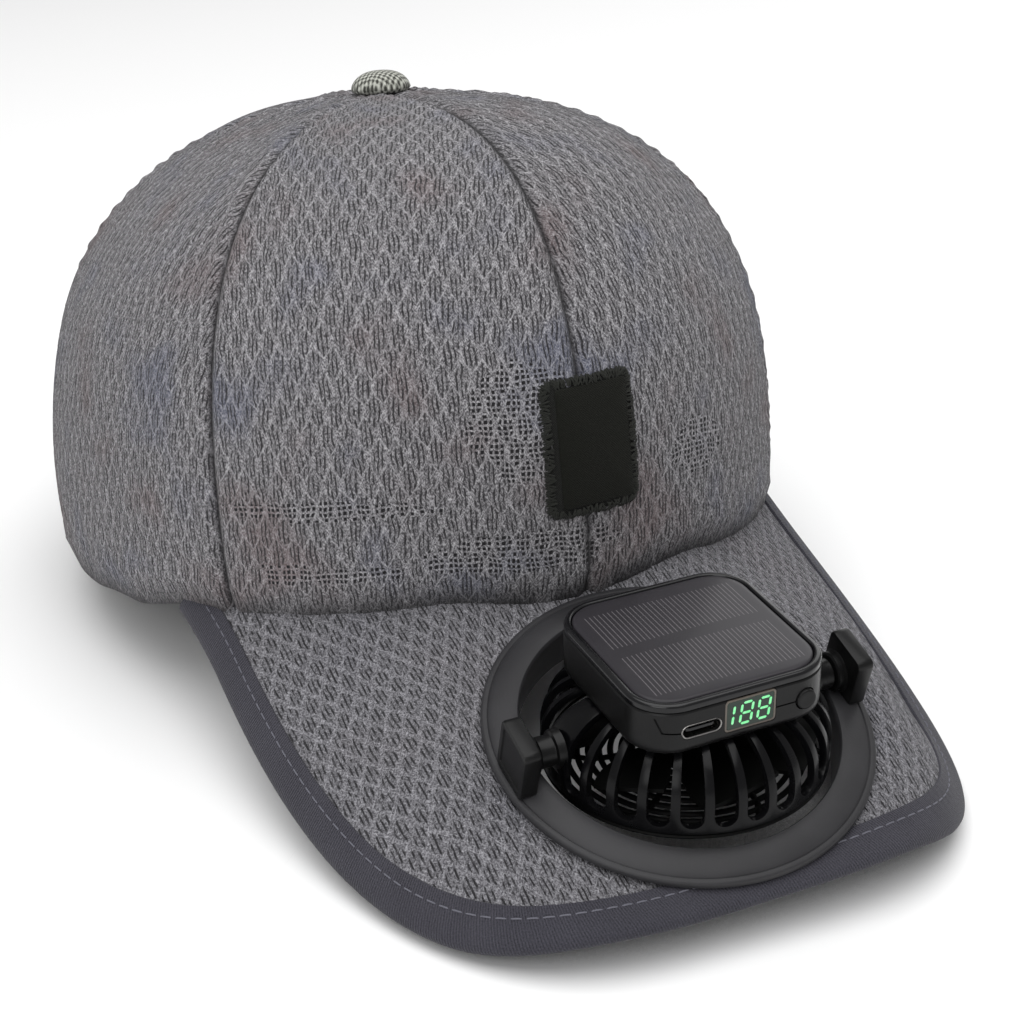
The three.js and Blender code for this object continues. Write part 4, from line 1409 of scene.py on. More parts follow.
@dataclass
class Bill(HatPart):
    """Knit-covered bill board, its twill binding and the binding's stitches."""

    spokes: int = 420
    rings: int = 66
    knit_depth: float = 0.22
    head_overlap: float = 5.0
    tape_proud: float = 0.42
    tape_thickness: float = 0.7
    edge_thickness: float = 1.5
    hole_margin: float = 2.2
    cloth_inset: float = 1.2
    least_slope: float = 0.05
    wave_depth: float = 0.18
    search_reach: float = 170.0
    search_steps: int = 1200
    reach_points: int = 700
    edge_points: int = 260
    tape_points: int = 360
    stitch_points: int = 1400
    stitch_inset: float = 6.1
    stitch_length: float = 2.0
    stitch_pitch: float = 2.9
    stitch_radius: float = 0.17
    stitch_margin: float = 4.0

    def build(self) -> None:
        """Builds and dresses the pieces."""
        dress(self._board(), self.finishes.bill, Body.HAT, Slot.BILL, "bill")
        tape, length = self._tape()
        dress(tape, self.finishes.binding, Body.HAT, Slot.BINDING, "bill_binding")
        dress(self._stitches(), self.finishes.thread, Body.HAT, Slot.BINDING)

    def _board(self) -> Piece:
        """The board with its two cloth faces, drawn outwards from the ring's hole."""
        shape = self.shape
        angles = round_angles(self.spokes)
        ray = np.stack([np.cos(angles), np.sin(angles)], axis=-1)
        start = np.array([0.0, shape.ring_forward])
        back = np.maximum(-ray[:, 1], self.least_slope)
        root = np.where(ray[:, 1] < -self.least_slope, (shape.bill_root_back + start[1]) / back, FAR)
        outer = np.minimum.reduce([self._reach_outline(start, ray), self._reach_head(start, ray), root])
        inner = shape.bore_radius + self.hole_margin
        share = np.linspace(0.0, 1.0, self.rings)[:, None]
        reach = inner + (outer[None, :] - inner) * share
        x = reach * ray[None, :, 0]
        v = start[1] + reach * ray[None, :, 1]
        edge = self._edge_distance(x, v)
        thinner = (shape.bill_thickness - self.edge_thickness) / 2
        taper = (1.0 - smoothstep(2.0, shape.binding_width - 0.4, edge)) * thinner
        knit = self.knit_depth * (BILL_CELL.mask(x, v) - 0.5)
        knit = knit * smoothstep(shape.binding_width, shape.binding_width + 2.0, edge)
        waves = self.wave_depth * np.sin(x * 0.12) * np.sin(v * 0.10 + 1.0)
        top = shape.bill_point(x, v, taper - knit - waves)
        low = shape.bill_point(x, v, shape.bill_thickness - taper + knit)
        sketch = MeshSketch(self.place)
        sketch.shell(top, low, np.stack([x, v], axis=-1), closed=True)
        return sketch.build("bill_cloth", merge=0.01, sharp=70.0)

    def _reach_outline(self, start: Points, ray: Points) -> Points:
        """Distance from a start to the bill's outline along each ray."""
        line = self.shape.bill_outline(self.cloth_inset, self.reach_points)
        off, step = line[:-1] - start, np.diff(line, axis=0)
        reach = np.full(len(ray), FAR)
        for k, (dx, dv) in enumerate(ray):
            cross = dx * step[:, 1] - dv * step[:, 0]
            safe = np.where(np.abs(cross) < NEARLY_NOTHING, NEARLY_NOTHING, cross)
            along = (off[:, 0] * step[:, 1] - off[:, 1] * step[:, 0]) / safe
            share = (off[:, 0] * dv - off[:, 1] * dx) / safe
            hits = along[(share >= 0) & (share <= 1) & (along > 0)]
            if len(hits):
                reach[k] = hits.min()
        return reach

    def _reach_head(self, start: Points, ray: Points) -> Points:
        """Distance from a start to the head opening along each ray."""
        shape = self.shape
        reach = np.linspace(shape.bore_radius, self.search_reach, self.search_steps)[:, None]
        x = reach * ray[None, :, 0]
        v = start[1] + reach * ray[None, :, 1]
        y = -shape.head_front - v * math.cos(shape.bill_pitch)
        y = y - shape.bill_height(x, v) * math.sin(shape.bill_pitch)
        room = self.head_overlap
        inside = (x / (shape.head_half_width - room)) ** 2 + (y / (shape.head_front - room)) ** 2 < 1.0
        first = np.argmax(inside, axis=0)
        return np.where(inside.any(axis=0), reach[first, 0], FAR)

    def _edge_distance(self, x: Points, v: Points) -> Points:
        """Distance of each point from the bill's outline, up to a little past the tape."""
        line = self.shape.bill_outline(0.0, self.edge_points)
        flat = np.stack([x.ravel(), v.ravel()], axis=-1)
        best = np.full(len(flat), FAR)
        for first, second in zip(line[:-1], line[1:]):
            step = second - first
            share = np.clip(((flat - first) @ step) / (step @ step), 0.0, 1.0)
            best = np.minimum(best, np.hypot(*(flat - first - share[:, None] * step).T))
        return best.reshape(x.shape)

    def _tape(self) -> tuple[Piece, float]:
        """The folded tape round the bill's edge, and its length."""
        shape = self.shape
        proud, wall, half = self.tape_proud, self.tape_thickness, shape.bill_thickness / 2
        edge = half - self.edge_thickness / 2 - wall
        width = shape.binding_width
        outside = [
            (width, -0.02), (width - 0.15, -proud), (width * 0.72, -proud - 0.05),
            (width * 0.45, -proud + 0.1), (2.2, edge - 0.25), (0.9, edge + 0.15),
            (0.25, half - 0.75), (0.0, half),
        ]
        whole = [*outside, *((inset, 2 * half - depth) for inset, depth in outside[-2::-1])]
        inside = [
            (inset + (0.6 if inset < 3 else 0.0), depth + math.copysign(wall * 0.55, half - depth))
            for inset, depth in whole[::-1] if abs(depth - half) > 0.3
        ]
        section = np.array([*whole, *inside])
        run = run_along(shape.bill_outline(0.0, self.tape_points))
        loops, cloth = [], []
        for (inset, depth), across in zip(section, run_along(section)):
            line = shape.bill_outline(inset, self.tape_points)
            ripple = 0.05 * np.sin(run * FULL_TURN / self.stitch_pitch)
            ripple = ripple * (abs(inset - self.stitch_inset) < 2.5) * math.copysign(1.0, depth - half)
            loops.append(shape.bill_point(line[:, 0], line[:, 1], depth + ripple))
            cloth.append(np.stack([np.full(len(run), across), run], axis=-1))
        rows, charts = (np.swapaxes(np.stack(part), 0, 1) for part in (loops, cloth))
        return self.lofted("bill_binding_tape", rows, 55.0, charts), float(run[-1])

    def _stitches(self) -> Piece:
        """One row of pale stitches on each face of the tape."""
        shape = self.shape
        line = shape.bill_outline(self.stitch_inset, self.stitch_points)
        run = run_along(line)
        bow = np.array([0.12, -0.03, -0.08, -0.03, 0.12])
        over = -self.tape_proud - 0.05 + bow
        under = shape.bill_thickness + self.tape_proud + 0.05 - bow
        sketch = MeshSketch(self.place)
        for begin in np.arange(self.stitch_margin, run[-1] - self.stitch_margin, self.stitch_pitch):
            spots = begin + np.linspace(0.0, self.stitch_length, 5)
            x, v = np.interp(spots, run, line[:, 0]), np.interp(spots, run, line[:, 1])
            for depth in (over, under):
                sketch.tube(shape.bill_point(x, v, depth), self.stitch_radius, sides=6)
        return sketch.build("bill_binding_stitches")


@dataclass
class Mount(HatPart):
    """Mounting ring with its two ears, and the ring that clamps it from below."""

    lip: float = 1.6
    lip_width: float = 1.2
    rise: float = 1.5
    collar_wall: float = 1.6
    collar_depth: float = 8.0
    groove: float = 0.5
    retainer_low: float = -7.7
    retainer_width: float = 5.0
    retainer_thickness: float = 1.5
    ear_inset: float = 1.2
    ear_thickness: float = 3.8
    ear_length: float = 11.5
    ear_height: float = 12.5
    ear_forward: float = 2.2
    ear_corner: float = 1.6
    ear_ease: float = 0.55
    boss_radius: float = 4.2
    boss_length: float = 1.8
    pin_radius: float = 2.3
    steps: int = 144

    @property
    def ear_inner(self) -> float:
        """Distance of an ear's inner face from the ring's middle."""
        return self.shape.ring_radius - self.ear_inset - self.ear_thickness

    @property
    def boss_end(self) -> float:
        """Distance of a boss's end from the ring's middle."""
        return self.ear_inner - self.boss_length

    def build(self) -> None:
        """Builds and dresses the pieces."""
        dress(self._ring(), self.finishes.matte, Body.HAT, Slot.MATTE, "fan_ring")
        for side in Side:
            dress(self._ear(side), self.finishes.satin, Body.HAT, Slot.MATTE)
        dress(self._retainer(), self.finishes.matte, Body.HAT, Slot.MATTE, "retaining_ring")

    def _ring(self) -> Piece:
        """The flange, its lip and the collar through the bill."""
        bore, outer = self.shape.bore_radius, self.shape.ring_radius
        collar, lip_edge = bore + self.collar_wall, outer - self.lip_width
        inside, foot = lip_edge - self.groove, 0.12
        profile = [
            (bore, -self.collar_depth), (collar, -self.collar_depth), (collar, -self.lip),
            (outer - 0.3, -self.lip), (outer, -self.lip + 0.3), (outer, -0.55), (outer - 0.2, -0.18),
            (outer - 0.55, 0.0), (lip_edge, 0.05), (lip_edge - 0.25, -foot), (inside, foot),
        ]
        for share in np.linspace(0.15, 1.0, 6):
            height = foot + (self.rise - foot) * math.sin(share * QUARTER_TURN) ** 0.9
            profile.append((inside - share * (inside - collar + 0.6), height))
        profile += [(bore + 0.45, self.rise - 0.05), (bore + 0.1, self.rise - 0.4), (bore, self.rise - 0.9)]
        return self.ringed("mounting_ring", lathe_loops(profile, self.steps), 35.0)

    def _ear(self, side: Side) -> Piece:
        """One ear with its boss, as one moulded block.

        Args:
            side: The wearer's left or right.

        Returns:
            The piece.
        """
        sign, ease, thick, inner = side.value, self.ear_ease, self.ear_thickness, self.ear_inner
        centre = np.array([-self.ear_forward, self.ear_height / 2])
        levels = [
            (ease, 0.0), (ease * 0.3, ease * 0.3), (0.0, ease), (0.0, thick - ease),
            (ease * 0.3, thick - ease * 0.3), (ease, thick), (ease + 0.9, thick),
            (ease + 1.15, thick - 0.25), (4.0, thick - 0.25),
        ]
        loops = []
        for inset, out in levels:
            size = (self.ear_length - 2 * inset, self.ear_height - 2 * inset)
            flat = rounded_rect(*size, max(self.ear_corner - inset, 0.4), 8) + centre
            loops.append(np.c_[np.full(len(flat), sign * (inner + out)), flat])
        sketch = MeshSketch(self.place)
        sketch.loft(loops)
        radius, end, pin = self.boss_radius, self.boss_end, self.pin_radius
        boss = [
            (0.01, inner + 1.0), (radius + 0.5, inner + 0.6), (radius + 0.4, inner - 0.1),
            (radius, inner - 0.5), (radius, end + 0.35), (radius - 0.35, end), (pin + 0.1, end),
            (pin, end + 2.0), (0.01, end + 2.0),
        ]
        axis = np.array([0.0, -self.shape.axis_forward, self.shape.axis_height])
        turned = lathe_loops([(reach, sign * height) for reach, height in boss], 48, "x")
        sketch.loft([loop + axis for loop in turned])
        return sketch.build(f"ring_ear_{side.name.lower()}", merge=0.005, sharp=35.0)

    def _retainer(self) -> Piece:
        """The plain clamping ring under the bill."""
        low, high = self.retainer_low, self.retainer_low + self.retainer_thickness
        inner = self.shape.bore_radius + self.collar_wall + self.shape.gap
        outer = inner + self.retainer_width
        profile = [
            (inner, low + 0.3), (inner + 0.3, low), (outer - 0.5, low), (outer, low + 0.5),
            (outer, high), (inner, high),
        ]
        return self.ringed("clamping_ring", lathe_loops(profile, self.steps), 35.0)


@dataclass
class FanUnit(HatPart):
    """Ribbed cage with its tilt pins, lower guard, motor and rotor."""

    boss_end: float
    wall: float = 1.5
    crown_radius: float = 17.0
    top: float = 8.3
    shoulder: float = -3.0
    bottom: float = -8.2
    slots: int = 28
    slot_start: float = 0.16
    slot_bottom: float = -6.9
    rib_share: float = 0.28
    rib_round: float = 0.72
    rib_round_steps: int = 4
    rib_round_angle: float = 50.0
    top_hole: float = 2.0
    shaft_radius: float = 3.2
    pin_radius: float = 2.0
    boss_radius: float = 4.0
    guard_hub: float = 6.0
    guard_bar: float = 1.4
    guard_half_width: float = 0.65
    guard_half_height: float = 0.5
    guard_drop: float = 0.55
    guard_steps: int = 96
    guard_spokes: int = 6
    guard_rings: int = 11
    motor_radius: float = 8.0
    hub_radius: float = 8.5
    hub_top: float = 0.7
    hub_bottom: float = -5.9
    hub_bore: float = 1.3
    motor_bottom: float = 1.0
    motor_top: float = 6.6
    blades: int = 7
    blade_tip: float = 26.3
    blade_cover: float = 0.86
    blade_lift: float = 2.6
    blade_half_wall: float = 0.45

    def build(self) -> None:
        """Builds and dresses the pieces."""
        dress(self._cage(), self.finishes.rib, Body.UNIT, Slot.GLOSS, "fan_cage")
        for side in Side:
            dress(self._shaft(side), self.finishes.satin, Body.UNIT, Slot.GLOSS)
        inner = self.finishes.inner
        dress(self._guard(), inner, Body.UNIT, Slot.GLOSS, "lower_guard")
        dress(self._motor(), inner, Body.UNIT, Slot.GLOSS, "fan_motor")
        dress(self._rotor(), inner, Body.ROTOR, Slot.GLOSS, "fan_rotor")

    def _profile(self, along: Points) -> tuple[Points, Points]:
        """Radius and height along the cage's outer line.

        Args:
            along: Share of the way from the crown's edge, 0, to the shoulder, 1, to the bottom, 2.

        Returns:
            The radii and heights.
        """
        turn = np.clip(along, 0.0, 1.0) * QUARTER_TURN
        reach, rise = self.shape.cage_radius - self.crown_radius, self.top - self.shoulder
        radius = self.crown_radius + reach * np.sin(turn)
        height = self.shoulder + rise * np.cos(turn)
        return radius, height + np.clip(along - 1.0, 0.0, 1.0) * (self.bottom - self.shoulder)

    def _cage(self) -> Piece:
        """The cage: a domed shell cut by slots with round ends."""
        pitch = FULL_TURN / self.slots
        half = pitch * (1 - self.rib_share) / 2
        sketch = MeshSketch(self.place)
        for k in range(self.slots):
            closed = abs(math.sin(k * pitch)) * self.shape.cage_radius < self.boss_radius
            self._cage_cell(sketch, k * pitch, pitch / 2, half, closed)
        piece = sketch.build("cage_shell", merge=0.01, sharp=30.0)
        solidify = piece.modifiers.new("wall", "SOLIDIFY")
        solidify.thickness = self.wall * MM
        solidify.offset = -1.0
        solidify.use_even_offset = True
        bevel = piece.modifiers.new("edges", "BEVEL")
        bevel.width = self.rib_round * MM
        bevel.segments = self.rib_round_steps
        bevel.limit_method = "ANGLE"
        bevel.angle_limit = math.radians(self.rib_round_angle)
        return piece

    def _cage_cell(self, sketch: MeshSketch, middle: float, edge: float, half: float, closed: bool) -> None:
        """Adds one slot's share of the cage's skin.

        Args:
            sketch: Where the faces go.
            middle: Angle of the slot's middle.
            edge: Half the angle from slot to slot.
            half: Half the slot's angle.
            closed: Whether a boss fills the slot.
        """
        def at(angle: Points, along: Points) -> Points:
            """Points of the cage's skin."""
            radius, height = self._profile(along)
            return polar(radius, middle + angle, height)

        def strip(left: Points, right: Points, along_left: Points, along_right: Points) -> None:
            """Adds a strip between two lines of the skin."""
            first = sketch.add_points(np.stack([at(left, along_left), at(right, along_right)], axis=1))
            sketch.grid_faces(first, len(left), 2)

        drop = self.shoulder - self.bottom
        round_size = half * self.shape.cage_radius / drop
        round_at = 1.0 + (self.shoulder - self.slot_bottom) / drop - round_size
        rows = np.r_[np.linspace(self.slot_start, 1.0, 12), np.linspace(1.0, round_at, 3)[1:]]
        ones = np.ones(len(rows))
        for sign in (-1, 1):
            strip(sign * half * ones, sign * edge * ones, rows, rows)
        turn = np.linspace(0.0, math.pi, 13)
        arc_angle, arc_along = half * np.cos(turn), round_at + round_size * np.sin(turn)
        wide = np.interp(turn, [0.35, math.pi - 0.35], [edge, -edge])
        low = np.where((turn <= 0.01) | (turn >= math.pi - 0.01), round_at, 2.0)
        strip(arc_angle, wide, arc_along, low)
        if closed:
            across = np.linspace(-half, half, 5)
            for first, second in zip(across[:-1], across[1:]):
                strip(first * ones, second * ones, rows, rows)
            strip(arc_angle[:7], arc_angle[:5:-1], arc_along[:7], arc_along[:5:-1])
        across = middle + np.linspace(-edge, edge, 5)
        for first, second in zip(across[:-1], across[1:]):
            self._top_strip(sketch, first, second)

    def _top_strip(self, sketch: MeshSketch, first: float, second: float) -> None:
        """Adds a strip of the cage's closed top, under the solar box."""
        share = np.linspace(0.0, 1.0, 6)
        radius, height = (float(part) for part in self._profile(np.array(self.slot_start)))
        radii = self.top_hole + (radius - self.top_hole) * share
        heights = np.where(share > 0.7, height + (self.top - height) * (1 - share) / 0.3, self.top)
        grid = [polar(radii, turn, heights) for turn in (first, second)]
        index = sketch.add_points(np.stack(grid, axis=1))
        sketch.grid_faces(index, len(share), 2)

    def _shaft(self, side: Side) -> Piece:
        """One tilt shaft from the cage to its ear.

        Args:
            side: The wearer's left or right.

        Returns:
            The piece.
        """
        end, cage = self.boss_end - self.shape.gap, self.shape.cage_radius
        boss, shaft, pin = self.boss_radius, self.shaft_radius, self.pin_radius
        profile = [
            (0.01, cage - 1.2), (boss + 0.2, cage - 1.2), (boss, cage), (boss - 0.1, cage + 0.4),
            (boss - 0.4, cage + 0.6), (shaft + 0.1, cage + 0.7), (shaft, cage + 0.9), (shaft, end - 0.2),
            (shaft - 0.2, end), (pin, end), (pin, end + 2.0), (0.01, end + 2.0),
        ]
        loops = lathe_loops([(radius, side.value * height) for radius, height in profile], 48, "x")
        return self.lofted(f"tilt_shaft_{side.name.lower()}", loops, 35.0)

    def _guard(self) -> Piece:
        """The lower guard: a hub, rings and spokes of round bar."""
        middle = self.bottom - self.shape.gap - self.guard_drop
        hub, outer, thick = self.guard_hub, self.shape.cage_radius - self.wall / 2, self.guard_half_height
        sketch = MeshSketch(self.place)
        section = round_angles(10)
        height = middle + thick * np.sin(section)
        for radius in np.linspace(hub, outer, self.guard_rings):
            reach = radius + self.guard_half_width * np.cos(section)
            sketch.ring_loft([polar(reach, turn, height) for turn in round_angles(self.guard_steps)])
        disc = [
            (0.01, middle - thick), (hub - 0.4, middle - thick), (hub - 0.1, middle),
            (hub - 0.4, middle + thick), (0.01, middle + thick),
        ]
        sketch.loft(lathe_loops(disc, 48))
        reach = np.linspace(hub, outer, 9)
        for k in range(self.guard_spokes):
            turn = (k + 0.5) * FULL_TURN / self.guard_spokes
            bend = turn + 0.25 * np.sin(np.linspace(0.0, math.pi, 9))
            sketch.tube(polar(reach, bend, middle), self.guard_bar / 2, sides=10, flat=0.7)
        return sketch.build("guard_bars", merge=0.005)

    def _motor(self) -> Piece:
        """The motor can and its shaft."""
        foot, low, high, radius = self.hub_bottom, self.motor_bottom, self.motor_top, self.motor_radius
        profile = [
            (0.01, foot), (0.85, foot), (1.0, foot + 0.15), (1.0, low), (radius - 0.5, low),
            (radius, low + 0.5), (radius, high), (0.01, high),
        ]
        return self.lofted("motor_can", lathe_loops(profile, 64), 35.0)

    def _rotor(self) -> Piece:
        """The hub with its cambered blades."""
        bore, radius, low, high = self.hub_bore, self.hub_radius, self.hub_bottom, self.hub_top
        profile = [
            (bore, low), (radius - 1.0, low), (radius, low + 1.0),
            (radius, high - 0.4), (radius - 0.4, high), (bore, high),
        ]
        sketch = MeshSketch(self.place)
        sketch.ring_loft(lathe_loops(profile, 64))
        reach = np.linspace(radius - 0.6, self.blade_tip, 12)[:, None]
        chord = np.linspace(-0.5, 0.5, 9)[None, :]
        share = (reach - radius) / (self.blade_tip - radius)
        across = self.blade_cover * FULL_TURN * reach / self.blades * chord * (1.0 - 0.25 * share**4)
        lift = 2.0 * self.blade_lift * chord * (1.0 - 0.2 * share) + 0.5 * (1.0 - 4.0 * chord**2)
        height = (high + low) / 2 + lift
        normal = np.array([0.0, 0.0, self.blade_half_wall])
        for k in range(self.blades):
            sweep = FULL_TURN * k / self.blades + 0.18 * share + across / reach
            skin = polar(reach, sweep, height)
            sketch.shell(skin + normal, skin - normal)
        return sketch.build("rotor_blades", sharp=35.0)


@dataclass
class SolarBox(HatPart):
    """Housing, bezel, panel, port, display and button."""

    width: float = 41.8
    height: float = 11.4
    low: float = 7.5
    corner: float = 9.0
    rim: float = 1.55
    trim_height: float = 1.9
    panel_margin: float = 1.7
    port_side: float = -8.9
    port_lift: float = 5.0
    port_width: float = 8.7
    port_height: float = 3.1
    port_wall: float = 0.33
    port_depth: float = 5.6
    display_side: float = 1.5
    display_lift: float = 5.9
    display_width: float = 11.0
    display_height: float = 7.0
    display_frame: float = 0.4
    display_corner: float = 0.8
    window_corner: float = 0.5
    button_side: float = 13.7
    button_lift: float = 5.1
    button_radius: float = 2.1
    groove: float = 0.32
    digit_height: float = 4.5
    digit_width: float = 2.35
    digit_bar: float = 0.5
    digit_slant: float = 0.12
    digits: tuple[tuple[float, str], ...] = ((-4.85, "bc"), (-0.85, "abcdefg"), (2.95, "abcdefg"))
    bottom_round: float = 1.9
    bezel_round: float = 0.75
    seam_gap: float = 0.12
    panel_drop: float = 0.35
    panel_dome: float = 0.42
    body_steps: int = 14

    @property
    def top(self) -> float:
        """Height of the box's top."""
        return self.low + self.height

    @property
    def front(self) -> float:
        """Place of the front wall."""
        return -self.width / 2

    def build(self) -> None:
        """Builds and dresses the pieces."""
        housing = self._housing()
        self._cut(housing, self._cutters())
        dress(housing, self.finishes.satin, Body.UNIT, Slot.MATTE, "solar_housing")
        dress(self._bezel(), self.finishes.gloss, Body.UNIT, Slot.GLOSS)
        dress(self._panel(), self.finishes.solar, Body.UNIT, Slot.SOLAR, "solar_panel")
        dress(self._port(), self.finishes.port, Body.UNIT, Slot.PORT, "charging_port")
        dress(self._tongue(), self.finishes.gloss, Body.UNIT, Slot.GLOSS)
        dress(self._window(), self.finishes.window, Body.UNIT, Slot.DISPLAY, "display_window")
        dress(self._window_frame(), self.finishes.trim, Body.UNIT, Slot.DISPLAY)
        dress(self._digits(), self.finishes.digits, Body.UNIT, Slot.DISPLAY)
        dress(self._button(), self.finishes.satin, Body.BUTTON, Slot.MATTE, "power_button")

    def _loop(self, inset: float, height: float) -> Points:
        """The box's outline, drawn in by an inset, at a height."""
        size = self.width - 2 * inset
        return lifted(rounded_rect(size, size, max(self.corner - inset, 0.6), self.body_steps), height)

    def _spot(self, side: float, lift: float) -> Points:
        """A place on the front wall, from its side and its height over the box's bottom."""
        return np.array([side, self.low + lift])

    def _sunk(self, *levels: tuple[Points, float]) -> list[Points]:
        """Outlines on the front wall, each at a depth behind it."""
        return [facing(outline, self.front + depth) for outline, depth in levels]

    def _display_outline(self, inset: float, corner: float) -> Points:
        """The display's outline on the front wall, drawn in by an inset."""
        size = (self.display_width - 2 * inset, self.display_height - 2 * inset)
        return rounded_rect(*size, corner, 6) + self._spot(self.display_side, self.display_lift)

    def _housing(self) -> Piece:
        """The matt lower body, up to the bezel's seam."""
        seam, low, size = self.top - self.trim_height, self.low, self.bottom_round
        levels = [(self.width / 2 - 4.0, low), (size + 0.3, low)]
        for turn in np.linspace(0.0, QUARTER_TURN, 6):
            levels.append((size * (1 - math.sin(turn)), low + size * (1 - math.cos(turn))))
        levels += [(0.0, low + 3.0), (0.0, seam - 0.3), (0.25, seam), (3.0, seam), (3.0, seam - 0.6)]
        levels += [(12.0, seam - 0.6)]
        return self.lofted("box_body", [self._loop(inset, height) for inset, height in levels], 35.0)

    def _bezel(self) -> Piece:
        """The glossy ring round the panel."""
        top, rim, size = self.top, self.rim, self.bezel_round
        seam = top - self.trim_height + self.seam_gap
        levels = [(0.35, seam), (0.05, seam + 0.25), (0.0, top - size)]
        for turn in np.linspace(0.2, QUARTER_TURN, 5):
            levels.append((size * (1 - math.cos(turn)), top - size + size * math.sin(turn)))
        levels += [(rim - 0.35, top + 0.05), (rim - 0.12, top - 0.1), (rim, top - 0.5), (rim, seam)]
        return self.ringed("box_bezel", [self._loop(inset, height) for inset, height in levels], 45.0)

    def _panel(self) -> Piece:
        """The slightly domed solar panel."""
        size = self.width - 2 * self.panel_margin
        outline = rounded_rect(size, size, self.corner - self.panel_margin, self.body_steps)
        shares = [1.0, 1.0, 0.992, 0.975, 0.94, 0.86, 0.74, 0.6, 0.45, 0.3, 0.15, 0.03]
        lifts = [-1.2, 0.0, 0.22, 0.36] + [0.36 + self.panel_dome * (1 - share**2) for share in shares[4:]]
        edge = self.top - self.panel_drop
        flats = [outline * share for share in shares]
        loops = [lifted(flat, edge + lift) for flat, lift in zip(flats, lifts)]
        return self.lofted("panel_glass", loops, 60.0, np.concatenate(flats))

    def _cut(self, piece: Piece, cutters: list[Piece]) -> None:
        """Cuts a piece by others, and removes them.

        Args:
            piece: What is cut.
            cutters: Closed meshes to take away.
        """
        for cutter in cutters:
            modifier = piece.modifiers.new("cut", "BOOLEAN")
            modifier.operation = "DIFFERENCE"
            modifier.solver = "EXACT"
            modifier.object = cutter
        graph = bpy.context.evaluated_depsgraph_get()
        cut = bpy.data.meshes.new_from_object(piece.evaluated_get(graph))
        piece.modifiers.clear()
        piece.data = cut
        cut.name = piece.name
        for cutter in cutters:
            bpy.data.objects.remove(cutter)
        cut.set_sharp_from_angle(angle=math.radians(35))

    def _cutters(self) -> list[Piece]:
        """What is cut out of the housing's front."""
        port = rounded_rect(self.port_width + 0.1, self.port_height + 0.1, self.port_height, 12)
        window = rounded_rect(self.display_width + 0.2, self.display_height + 0.2, 0.9, 6)
        across = 2 * self.button_radius + 0.5
        knob = rounded_rect(across, across, across / 2, 12)
        made = [
            self._front_block("port_room", port, self.port_side, self.port_lift, self.port_depth + 0.6),
            self._front_block("window_room", window, self.display_side, self.display_lift, 1.3),
            self._front_block("button_room", knob, self.button_side, self.button_lift, 3.0),
        ]
        half = self.groove / 2
        display_edge = self.display_side + self.display_width / 2
        button_edge = self.button_side - self.button_radius
        port_edge = self.port_side - self.port_width / 2
        lines = [
            ((display_edge - 0.5, self.button_lift), (button_edge + 0.3, self.button_lift)),
            ((port_edge - 4.6, self.port_lift + 3.4), (port_edge - 3.4, self.port_lift + 0.3)),
            ((port_edge - 3.5, self.port_lift + 0.3), (port_edge + 0.3, self.port_lift)),
        ]
        for number, (begin, end) in enumerate(lines):
            a, b = np.array(begin), np.array(end)
            side = unit_rows(np.array([[a[1] - b[1], b[0] - a[0]]]))[0] * half
            outline = np.array([a - side, b - side, b + side, a + side])
            made.append(self._front_block(f"groove_{number}", outline, 0.0, 0.0, 0.35, reach=3.0))
        return made

    def _front_block(
        self, name: str, outline: Points, side: float, lift: float, depth: float, reach: float = 2.0
    ) -> Piece:
        """A block that reaches into the front wall.

        Args:
            name: Name of the block.
            outline: Its outline, width and height.
            side: Its place to the wearer's left.
            lift: Its height over the box's bottom.
            depth: How deep it reaches in.
            reach: How far it stands out in front.

        Returns:
            The block.
        """
        flat = outline + self._spot(side, lift)
        loops = self._sunk((flat, -reach), (flat, depth))
        if depth < 1.0:
            loops[1][:, 1] += self._corner_drop(flat[:, 0])
        return self.lofted(name, loops)

    def _corner_drop(self, x: Points) -> Points:
        """How far the rounded corner lies behind the front wall's plane."""
        past = np.clip(np.abs(x) - (self.width / 2 - self.corner), 0.0, self.corner)
        return self.corner - np.sqrt(np.maximum(self.corner**2 - past**2, 0.0))

    def _port(self) -> Piece:
        """The port's steel sleeve."""
        width, height, wall = self.port_width, self.port_height, self.port_wall
        shift = self._spot(self.port_side, self.port_lift)
        outer = rounded_rect(width, height, height, 12) + shift
        inner = rounded_rect(width - 2 * wall, height - 2 * wall, height, 12) + shift
        eased, depth = outer + (inner - outer) * 0.3, self.port_depth
        loops = self._sunk((outer, depth), (outer, 0.1), (eased, -0.02), (inner, 0.08), (inner, depth - 0.4))
        return self.lofted("port_sleeve", loops, 35.0)

    def _tongue(self) -> Piece:
        """The port's tongue."""
        centre = self._spot(self.port_side, self.port_lift)
        flat = rounded_rect(self.port_width * 0.7, 0.75, 0.2, 4)
        whole, eased = flat + centre, flat * 0.8 + centre
        loops = self._sunk((whole, self.port_depth - 0.5), (whole, 0.9), (eased, 0.7))
        return self.lofted("port_tongue", loops, 35.0)

    def _window(self) -> Piece:
        """The display's dark window."""
        centre = self._spot(self.display_side, self.display_lift)
        outer = self._display_outline(self.display_frame, self.window_corner)
        eased = centre + (outer - centre) * 0.985
        loops = self._sunk((outer, 1.0), (outer, 0.15), (eased, 0.08))
        return self.lofted("display_glass", loops, 35.0)

    def _window_frame(self) -> Piece:
        """The thin frame round the display."""
        outer = self._display_outline(0.0, self.display_corner)
        inner = self._display_outline(self.display_frame, self.window_corner)
        middle = (outer + inner) / 2
        loops = self._sunk((outer, 1.0), (outer, 0.05), (middle, -0.04), (inner, 0.05), (inner, 1.0))
        return self.ringed("display_frame", loops, 45.0, 0.005)

    def _digits(self) -> Piece:
        """Three plain digits of lit bars."""
        sketch = MeshSketch(self.place)
        for centre, bars in self.digits:
            for bar in bars:
                self._bar(sketch, centre, bar)
        return sketch.build("display_digits")

